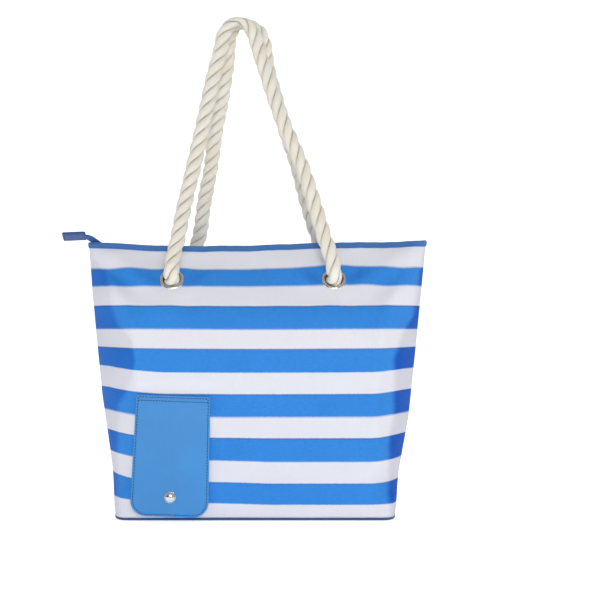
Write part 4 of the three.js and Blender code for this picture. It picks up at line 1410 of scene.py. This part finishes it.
def softPlate(name, outline, thickness, material, place, crown=0.0, edge=0.0006, groove=None, rings=None):
    # a plate from rings inside one outline; place turns (x, y, out) into a point
    rings = rings or plateRings
    count = len(outline)
    middle = Vector((sum(p[0] for p in outline) / count, sum(p[1] for p in outline) / count))
    normals = []
    for i in range(count):
        a, b = outline[i - 1], outline[(i + 1) % count]
        way = Vector((b[0] - a[0], b[1] - a[1])).normalized()
        normals.append(Vector((-way.y, way.x)))
    turn = sum(outline[i - 1][0] * outline[i][1] - outline[i][0] * outline[i - 1][1] for i in range(count))
    if turn < 0:
        normals = [-n for n in normals]
    halfX = (max(p[0] for p in outline) - min(p[0] for p in outline)) / 2
    halfY = (max(p[1] for p in outline) - min(p[1] for p in outline)) / 2
    reach = min(halfX, halfY)
    usable = [r for r in rings if r < reach * 0.25]
    flat = []
    for r in usable:
        flat.append([(p[0] + n.x * r, p[1] + n.y * r, r) for p, n in zip(outline, normals)])
    inner = flat[-1]
    steps = max(3, int(reach * 0.75 / 0.006))
    for s in range(1, steps):
        t = s / steps
        flat.append([(mix(x, middle.x, t), mix(y, middle.y, t), r + t * reach * 0.7) for x, y, r in inner])
    points, faces, cloth = [], [], []

    def height(r):
        out = thickness / 2 + crown * (1 - math.exp(-r / 0.012)) - edge * math.exp(-r / 0.0005)
        if groove:
            out -= groove[1] * hump(r - groove[0], 0.0005)
        return out

    for face in (1, -1):
        for ring in flat:
            for x, y, r in ring:
                points.append(place(x, y, (height(r) if face > 0 else height(r) - crown * 0.5) * face))
                cloth.append((x, y))
        points.append(place(middle.x, middle.y, height(reach) * face))
        cloth.append((middle.x, middle.y))
    half = len(flat) * count + 1
    for start in (0, half):
        grid = gridFaces(len(flat), count, wrap=True, start=start)
        last = start + (len(flat) - 1) * count
        grid += [(last + j, last + (j + 1) % count, start + half - 1) for j in range(count)]
        faces += [tuple(reversed(f)) for f in grid] if start else grid
    faces += [(j, half + j, half + (j + 1) % count, (j + 1) % count) for j in range(count)]
    piece = addPiece(name, points, faces, material, lambda f, index: cloth[index])
    faceOut(piece)
    return piece


def spread(half):
    # places from one edge to the other, closest together at the edges
    near, step = flapShape["near"], flapShape["step"]
    inner = half - near[-1]
    count = max(2, round(2 * inner / step))
    middle = [-inner + 2 * inner * i / count for i in range(1, count)]
    return [r - half for r in near] + middle + [half - r for r in near[::-1]]


flapShape = {
    "hinge": (-0.1101, -0.0734, 0.1535),
    "turn": 2.0,
    "tilt": 1.6,
    "topHalf": 0.0485,
    "bottomHalf": 0.0515,
    "drop": 0.1475,
    "strip": 0.0108,
    "corner": 0.021,
    "topCorner": 0.0035,
    "thickness": 0.0015,
    "stitchInset": 0.0026,
    "stitchPitch": 0.0039,
    "stitchSize": (0.0014, 0.0009, 0.0024),
    "rowGap": 0.0046,
    "groove": 0.00015,
    "bulge": 0.0008,
    "ripple": 0.00035,
    "lining": (0.0016, 0.0007, -0.00125),  # its inset, thickness and place behind the skin
    # distances from an edge where the grid has a line, and its step elsewhere
    "near": (0.0, 0.0003, 0.0008, 0.0014, 0.0019, 0.0023, 0.0026, 0.0029, 0.0034, 0.0042, 0.0056, 0.0076, 0.0102),
    "step": 0.0032,
    "nearTop": (
        0.0, 0.0002, 0.0006, 0.0012, 0.0018, 0.0022, 0.0026, 0.0030, 0.0036, 0.0046, 0.0060, 0.0065, 0.0070, 0.0076,
        0.0090,
    ),
}


def flapPoint(x, z, out):
    # x and z on the flap from the middle of its hinge, out towards the viewer
    turn = Euler((0, math.radians(flapShape["turn"]), 0)).to_matrix()
    tilt = math.radians(flapShape["tilt"]) if z < 0 else 0.0
    y = -out + 0.0008
    if z < 0:
        y, z = y + z * math.sin(tilt), z * math.cos(tilt)
    hinge = Vector(flapShape["hinge"])
    # the strip above the hinge lies against the panel
    bow = -flapShape["bulge"] * math.sin(math.pi * clamp(-z / flapShape["drop"])) if z < 0 else 0.0
    ripple = flapShape["ripple"] * noise.noise(Vector((x * 18, z * 14, 2.5)))
    return hinge + turn @ Vector((x, y + bow + ripple, z))


def flapSide(z):
    # half the flap's width between its corners
    rise = flapShape["strip"] + flapShape["drop"]
    return mix(flapShape["topHalf"], flapShape["bottomHalf"], (flapShape["strip"] - z) / rise)


def flapOutline(inset):
    # from the middle of the top, round by the left; closed
    top, low = flapShape["strip"], -flapShape["drop"]
    corner, small = flapShape["corner"], flapShape["topCorner"]
    halves = []
    for hand in (-1, 1):
        part = [(0.0, top)]
        for i in range(7):
            a = i * math.pi / 12
            part.append((hand * (flapSide(top) - small + small * math.sin(a)), top - small + small * math.cos(a)))
        for i in range(1, 40):
            z = mix(top - small, low + corner, i / 40)
            part.append((hand * flapSide(z), z))
        for i in range(13):
            a = i * math.pi / 24
            x = flapSide(low + corner) - corner + corner * math.cos(a)
            part.append((hand * x, low + corner - corner * math.sin(a)))
        part.append((0.0, low))
        halves.append(part)
    outline = halves[0] + halves[1][::-1][1:-1]
    moved = []
    for i, (x, z) in enumerate(outline):
        a, b = outline[i - 1], outline[(i + 1) % len(outline)]
        way = Vector((b[0] - a[0], b[1] - a[1]))
        way = way.normalized() if way.length > 1e-9 else Vector((1, 0))
        moved.append((x - way.y * inset, z + way.x * inset))
    return moved


def evenLoop(points, step):
    line = [Vector((x, z, 0)) for x, z in points] + [Vector((*points[0], 0))]
    lengths = [0.0]
    for a, b in zip(line, line[1:]):
        lengths.append(lengths[-1] + (b - a).length)
    steps = round(lengths[-1] / step)
    loop, k = [], 0
    for i in range(steps):
        want = lengths[-1] * i / steps
        while lengths[k + 1] < want:
            k += 1
        p = line[k].lerp(line[k + 1], (want - lengths[k]) / max(1e-9, lengths[k + 1] - lengths[k]))
        loop.append((p.x, p.y))
    return loop


def flapBlend(piece):
    hinge = Vector(flapShape["hinge"])
    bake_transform(piece)


def flapHalf(z, inset):
    # half the flap's width at a height, its round corners included
    shape = flapShape
    full = flapSide(z) - inset
    low, high = -shape["drop"] + inset, shape["strip"] - inset
    corner, small = shape["corner"] - inset, max(0.0008, shape["topCorner"] - inset)
    if z < low + corner:
        full -= corner - math.sqrt(max(0.0, corner**2 - (low + corner - z) ** 2))
    if z > high - small:
        full -= small - math.sqrt(max(0.0, small**2 - (z - high + small) ** 2))
    return full


def edgeDistance(x, z):
    # how far a point of the flap is from its cut edge
    shape = flapShape
    low = -shape["drop"]
    side = flapHalf(max(z, low + shape["corner"]), 0.0) - abs(x)
    centre = (flapHalf(low + shape["corner"], 0.0) - shape["corner"], low + shape["corner"])
    if abs(x) > centre[0] and z < centre[1]:
        return shape["corner"] - math.hypot(abs(x) - centre[0], z - centre[1])
    return min(side, shape["strip"] - z, z - low)


def flapLeaf(name, material, inset, thickness, shift, groove=0.0, edge=0.0002):
    low, high = -flapShape["drop"] + inset, flapShape["strip"] - inset
    corner = flapShape["corner"] - inset
    levels = [high - r for r in flapShape["nearTop"]]
    count = 44
    levels += [mix(high - 0.0105, low + corner + 0.001, i / count) for i in range(count + 1)]
    levels += [low + corner * (1 - math.sin(a)) for a in [math.pi / 2 * (i / 26) ** 0.75 for i in range(1, 27)]]
    shares = [x / flapShape["topHalf"] for x in spread(flapShape["topHalf"])]
    points, cloth = [], []
    for face in (1, -1):
        for z in levels:
            half = flapHalf(z, inset)
            for share in shares:
                x = half * share
                r = max(0.0, edgeDistance(x, z) - inset)
                out = thickness / 2 - edge * math.exp(-r / 0.0004)
                if face > 0 and groove:
                    row = z - (flapShape["strip"] - flapShape["stitchInset"] - flapShape["rowGap"])
                    out -= groove * max(hump(r - flapShape["stitchInset"], 0.0005), hump(row, 0.0005))
                points.append(flapPoint(x, z, shift + out * face))
                cloth.append((x, z))
    rows, width = len(levels), len(shares)
    grid = gridFaces(rows, width)
    faces = grid + [tuple(v + rows * width for v in reversed(f)) for f in grid]
    rim = list(range(width)) + [i * width + width - 1 for i in range(1, rows)]
    rim += [(rows - 1) * width + j for j in range(width - 2, -1, -1)] + [i * width for i in range(rows - 2, 0, -1)]
    faces += [(a, b, b + rows * width, a + rows * width) for a, b in zip(rim, rim[1:] + rim[:1])]
    piece = addPiece(name, points, faces, material, lambda f, index: cloth[index])
    faceOut(piece)
    return piece


def makeFlap():
    skin = flapLeaf("flapSkin", look["skin"], 0.0, flapShape["thickness"], 0.0, groove=flapShape["groove"])
    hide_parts("flap_outer", "flap_hinge_strip")
    lining = flapLeaf("flapLining", look["lining"], *flapShape["lining"])
    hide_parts("flap_backing")
    # one row of stitches round the edge, one more across the hinge strip
    inset = flapShape["stitchInset"]
    proud = flapShape["thickness"] / 2 + 0.00005
    rows = [[flapPoint(x, z, proud) for x, z in evenLoop(flapOutline(inset), 0.0008)]]
    rows[0].append(rows[0][0])
    level = flapShape["strip"] - inset - flapShape["rowGap"]
    reach = flapShape["topHalf"] - inset - 0.001
    rows.append([flapPoint(mix(-reach, reach, i / 90), level, proud) for i in range(91)])
    pitch, size = flapShape["stitchPitch"], flapShape["stitchSize"]
    seam = stringAlong("flapSeam", rows, look["thread"], pitch, *size, up=(0, -1, 0))
    for piece in (skin, lining, seam):
        flapBlend(piece)


makeFlap()


snapShape = {
    "scale": 0.89,
    "rim": [(0.0070, 0.0), (0.0081, 0.0), (0.0084, 0.0005), (0.0080, 0.0011), (0.0071, 0.0009)],
    "cap": [
        (0.0, 0.0), (0.0072, 0.0), (0.0077, 0.0006), (0.0075, 0.0014), (0.0066, 0.0026), (0.0048, 0.0037),
        (0.0025, 0.0043), (0.0, 0.0045),
    ],
    "seat": (-0.001, -0.122),
}


def makeSnap():
    low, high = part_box("snap_cap")
    middle = Vector(((low[0] + high[0]) / 2, high[1], (low[2] + high[2]) / 2))
    seat = flapPoint(*snapShape["seat"], flapShape["thickness"] / 2)
    middle.y = seat.y + 0.0001
    tilt = math.radians(flapShape["tilt"])
    outward = (0, -math.cos(tilt), math.sin(tilt))
    small = snapShape["scale"]
    dome, ring = ([(r * small, h * small) for r, h in snapShape[key]] for key in ("cap", "rim"))
    cap = lathe("snapDome", dome, middle, outward, look["nickel"], 64)
    rim = lathe("snapRim", roundProfile(ring, 2), middle, outward, look["nickel"], 64)
    for piece in (cap, rim):
        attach(piece, "tap_flap")
    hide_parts("snap_cap")


makeSnap()
print("flap and snap made")


baseShape = {
    "columns": 181,
    "levels": (0.0000, 0.0006, 0.0018, 0.0030, 0.0040),
    "insets": (0.0012, 0.0002, -0.0006, -0.0006, 0.0002),
    "lowest": 0.0035,  # where the outline is read, however low the level is
    "rings": (0.15, 0.4, 0.7),
}


def makeBase():
    levels, columns = baseShape["levels"], baseShape["columns"]
    points, cloth = [], []
    for z, inset in zip(levels, baseShape["insets"]):
        line = outlineAt(max(z, baseShape["lowest"]), inset, columns)
        loop = [(x, -d) for x, d, _ in line[:-1]] + [(x, d) for x, d, _ in line[::-1][:-1]]
        points += [(x, y, z) for x, y in loop]
        cloth += loop
    count = len(points) // len(levels)
    faces = gridFaces(len(levels), count, wrap=True)
    # the underside and the top close in rings towards the middle
    for row, z in ((0, levels[0]), (len(levels) - 1, levels[-1])):
        edge = points[row * count:(row + 1) * count]
        start = len(points)
        for t in baseShape["rings"]:
            ring = [(x * (1 - t * 0.35), y * (1 - t)) for x, y, _ in edge]
            points += [(x, y, z) for x, y in ring]
            cloth += ring
        rings = [list(range(row * count, (row + 1) * count))]
        rings += [list(range(start + k * count, start + (k + 1) * count)) for k in range(3)]
        for a, b in zip(rings, rings[1:]):
            faces += [(a[j], a[(j + 1) % count], b[(j + 1) % count], b[j]) for j in range(count)]
        last = rings[-1]
        faces.append((last[0], last[1], last[-1]))
        for j in range(1, count // 2):
            faces.append((last[j], last[(j + 1) % count], last[(-j - 1) % count], last[-j % count]))
    faces = [tuple(dict.fromkeys(f)) for f in faces]
    base = addPiece("baseSkin", points, faces, look["base"], lambda f, index: cloth[index])
    faceOut(base)
    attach(base, "bag")
    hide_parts("base_panel")


makeBase()
print("base made")


zipShape = {
    "pitch": 0.0016,
    "tooth": (0.0028, 0.0017, 0.00125),
    "toothOff": 0.0019,  # from the middle of the zip
    "level": 0.356,
    "endSlot": 0.0008,
    "endSolid": 0.0025,
}


def makeStrip(name, low, high, material, body, node, ripple=0.00012, slot="tape", cut=None):
    # a thin woven strip in the space of its node
    columns = max(8, int((high[0] - low[0]) / 0.003))
    points, cloth = [], []
    across = [i / 4 for i in range(5)]
    for top in (1, 0):
        for i in range(columns + 1):
            x = mix(low[0], high[0], i / columns)
            for t in across:
                y = mix(low[1], high[1], t)
                middle = (low[2] + high[2]) / 2
                half = (high[2] - low[2]) / 2 - 0.0001
                sag = ripple * noise.noise(Vector((x * 60, y * 200, 1.5)))
                points.append((x, y, middle + (half if top else -half) + sag))
                cloth.append((x, y))
    rows, width = columns + 1, len(across)
    grid = gridFaces(rows, width)
    under = [tuple(v + rows * width for v in reversed(f)) for f in grid]
    faces = grid + under
    edge = [i * width for i in range(rows)] + [(rows - 1) * width + j for j in range(1, width)]
    edge += [i * width + width - 1 for i in range(rows - 2, -1, -1)] + list(range(width - 2, 0, -1))
    for a, b in zip(edge, edge[1:] + edge[:1]):
        faces.append((a, b, b + rows * width, a + rows * width))
    piece = addPiece(name, points, faces, material, lambda f, index: cloth[index])
    faceOut(piece)
    if cut:
        cutHoles(piece, [boxTool(*cut)])
    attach(piece, body)
    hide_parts(node)


for face, side in (("front", -1), ("back", 1)):
    tape = f"zip_tape_{face}"
    makeStrip(f"zipTape_{face}", *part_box(tape), look["tape"], f"{face}_zip_tape", tape)
    facing = f"zip_facing_{face}"
    makeStrip(f"zipFacing_{face}", *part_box(facing), look["binding"], "bag", facing, slot="binding")
    low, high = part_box(f"zip_teeth_{face}")
    line = [(mix(low[0], high[0], i / 40), side * zipShape["toothOff"], zipShape["level"]) for i in range(41)]
    teeth = stringAlong(f"zipTeeth_{face}", [line], look["teeth"], zipShape["pitch"], *zipShape["tooth"], wander=0.0)
    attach(teeth, f"{face}_zip_tape")
    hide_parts(f"zip_teeth_{face}")
for hand in ("left", "right"):
    # the closed end is slotted, so that the slider can park over it
    low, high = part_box(f"zip_end_{hand}")
    if hand == "left":
        slotLow, slotHigh = low[0] + zipShape["endSolid"], high[0] + 0.001
    else:
        slotLow, slotHigh = low[0] - 0.001, high[0] - zipShape["endSolid"]
    cut = ((slotLow, -zipShape["endSlot"], low[2] - 0.001), (slotHigh, zipShape["endSlot"], high[2] + 0.001))
    makeStrip(f"zipEnd_{hand}", low, high, look["tape"], "bag", f"zip_end_{hand}", ripple=0.0, cut=cut)


tailShape = {
    "line": (
        (-0.1996, 0.3572), (-0.2020, 0.3585), (-0.2060, 0.3605), (-0.2100, 0.3628), (-0.2140, 0.3656),
        (-0.2185, 0.3688), (-0.2230, 0.3717), (-0.2275, 0.3740), (-0.2320, 0.3757), (-0.2365, 0.3764),
    ),
    "half": 0.0046,
    "thick": 0.0009,
    "bow": 0.0004,
    "rootTurn": -66.0,
    "tab": {
        "low": -0.2640, "high": -0.2325, "half": 0.0108, "thick": 0.0036, "z": 0.3766, "turn": -25.0, "corner": 0.0022,
        "seamInset": 0.0022,
    },
}


def makeTail():
    line, total = smoothLine([Vector((x, 0, z)) for x, z in tailShape["line"]], 0.0012)
    profile = [(-1, -1), (-0.5, -1), (0, -1), (0.5, -1), (1, -1), (1, 1), (0.5, 1), (0, 1), (-0.5, 1), (-1, 1)]
    points, cloth = [], []
    for i, p in enumerate(line):
        a, b = line[max(0, i - 1)], line[min(len(line) - 1, i + 1)]
        way = (b - a).normalized()
        up = Vector((-way.z, 0, way.x)) * -1
        t = i / (len(line) - 1)
        degrees = mix(tailShape["rootTurn"], tailShape["tab"]["turn"], ease((t - 0.6) / 0.4))
        turn = math.radians(degrees) * ease((t - 0.03) / 0.25)
        for s, h in profile:
            bow = tailShape["bow"] * (1 - s * s) * math.sin(t * 9)
            offset = Vector((0, s * tailShape["half"], 0)) + up * (h * tailShape["thick"] + bow)
            offset.rotate(Euler((turn, 0, 0)))
            points.append(p + offset)
            cloth.append((total * t, s * tailShape["half"] + h * 0.0005))
    count = len(profile)
    faces = gridFaces(len(line), count, wrap=True)
    faces += [tuple(range(count)), tuple((len(line) - 1) * count + j for j in range(count))[::-1]]
    tape = addPiece("zipTail", points, faces, look["tape"], lambda f, index: cloth[index])
    faceOut(tape)
    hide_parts("zip_tail_tape")
    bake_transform(tape)

    tab = tailShape["tab"]
    turn = Euler((math.radians(tab["turn"]), 0, 0)).to_matrix()
    centre = Vector(((tab["low"] + tab["high"]) / 2, 0, tab["z"]))

    def place(x, y, out):
        return centre + turn @ Vector((x, y, out + 0.0006 * math.sin(x * 90)))

    halfX = (tab["high"] - tab["low"]) / 2
    inset = tab["seamInset"]
    loop = evenLoop(roundedOutline(halfX, tab["half"], tab["corner"]), 0.0008)
    plate = softPlate(
        "endTabSkin", loop, tab["thick"], look["navySkin"], place, crown=0.0003, edge=0.0009, groove=(inset, 0.0002),
    )
    seamLine = evenLoop(roundedOutline(halfX - inset, tab["half"] - inset, 0.0012), 0.0006)
    rows = [[place(x, y, out) for x, y in seamLine + seamLine[:1]] for out in (0.0019, -0.0019)]
    seam = stringAlong("endTabSeam", rows, look["navyThread"], 0.0024, 0.0005, 0.0004, 0.0018)
    for piece in (plate, seam):
        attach(piece, "end_tab")
    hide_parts("zip_end_tab")


makeTail()
print("zip made")


boxShape = {"around": 160, "levels": 26, "soft": 0.004, "radius": 0.008, "puffs": 18, "puffTall": 90}


def softBox(name, node, wall, material, quilt):
    # a padded open box: a floor and four walls, in the space of its node
    low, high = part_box(node)
    middle = Vector(((low[0] + high[0]) / 2, (low[1] + high[1]) / 2, 0))
    halfX, halfY = (high[0] - low[0]) / 2, (high[1] - low[1]) / 2
    count, levels, radius = boxShape["around"], boxShape["levels"], boxShape["radius"]

    def loopAt(inset, z, r, quiltSide):
        raw = roundedOutline(halfX - inset, halfY - inset, max(0.0015, r), 6)
        total = sum(math.hypot(b[0] - a[0], b[1] - a[1]) for a, b in zip(raw, raw[1:] + raw[:1]))
        line = evenLoop(raw, total / count)[:count]
        line += [line[-1]] * (count - len(line))
        out = []
        for i, (x, y) in enumerate(line):
            puff = abs(math.sin(i * math.pi * boxShape["puffs"] / count)) * abs(math.sin(z * boxShape["puffTall"]))
            dent = quilt * (puff - 1) * quiltSide
            size = math.hypot(x, y) or 1
            out.append(Vector((middle.x + x + x / size * dent, middle.y + y + y / size * dent, z)))
        return out

    rows = []
    soft = min(boxShape["soft"], (high[2] - low[2]) / 4)
    for i in range(levels + 1):
        z = mix(low[2] + 0.0003, high[2] - 0.0003, i / levels)
        tuck = soft * (1 - min(1, (z - low[2]) / soft)) ** 2 * 0.5
        rows.append(loopAt(0.0004 + tuck, z, radius, 1))
    for i in range(levels + 1):
        z = mix(high[2] - 0.0003, low[2] + wall, i / levels)
        rows.append(loopAt(wall, z, radius - wall * 0.5, -0.4))
    points = [p for row in rows for p in row]
    faces = gridFaces(len(rows), count, wrap=True)
    for row in (0, len(rows) - 1):
        base = [row * count + j for j in range(count)]
        centre = len(points)
        points.append(sum((points[j] for j in base), Vector()) / count)
        faces += [(base[j], base[(j + 1) % count], centre) for j in range(count)]
    cloth = [(p.x + p.y, p.z) for p in points]
    piece = addPiece(name, points, faces, material, lambda f, index: cloth[index])
    faceOut(piece)
    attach(piece, "bag")
    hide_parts(node)


softBox("pocketWalls", "pocket_foam", 0.0052, look["foam"], 0.0008)
softBox("pocketSkin", "pocket_foil", 0.0008, look["foil"], 0.0003)


padRings = (0.0, 0.0005, 0.0012, 0.0024, 0.004, 0.007, 0.011, 0.016, 0.024)


def padPlate(name, node, material, body, crown=0.001, corner=0.008):
    low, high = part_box(node)
    centre = Vector([(a + b) / 2 for a, b in zip(low, high)])
    half = [(b - a) / 2 for a, b in zip(low, high)]
    thin = min(range(3), key=lambda k: half[k])
    others = [k for k in range(3) if k != thin]

    def place(x, y, out):
        p = Vector((0, 0, 0))
        p[others[0]], p[others[1]], p[thin] = x, y, out
        return centre + p

    halfA, halfB = half[others[0]], half[others[1]]
    loop = evenLoop(roundedOutline(halfA - 0.0003, halfB - 0.0003, min(corner, halfB * 0.4)), 0.003)
    thick = 2 * (half[thin] - crown)
    edge = min(0.0016, thick * 0.4)
    piece = softPlate(name, loop, thick, material, place, crown=crown, edge=edge, rings=padRings)
    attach(piece, body)
    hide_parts(node)
    return piece


padPlate("lidPad", "pocket_lid", look["foam"], "cool_lid", crown=0.0008)
padPlate("lidTab", "lid_pull_tab", look["binding"], "cool_lid", crown=0.0001, corner=0.003)
print("pocket made")


finishes = {
    "nickel": (
        "eyelet_washer_front_left", "eyelet_washer_front_right", "eyelet_washer_back_left",
        "eyelet_washer_back_right", "zip_slider", "zip_pull", "zip_stop_left", "zip_stop_right", "snap_socket",
        "snap_stud", "snap_stud_back", "port_ring", "port_ring_back",
    ),
    "board": ("base_board",),
    "film": ("drink_pouch",),
    "white": ("pouch_gland", "tap_body"),
    "red": ("tap_button",),
}
for finish, names in finishes.items():
    for name in names:
        data = bpy.data.objects[name].data
        data.materials.clear()
        data.materials.append(look[finish])
print("finishes set")
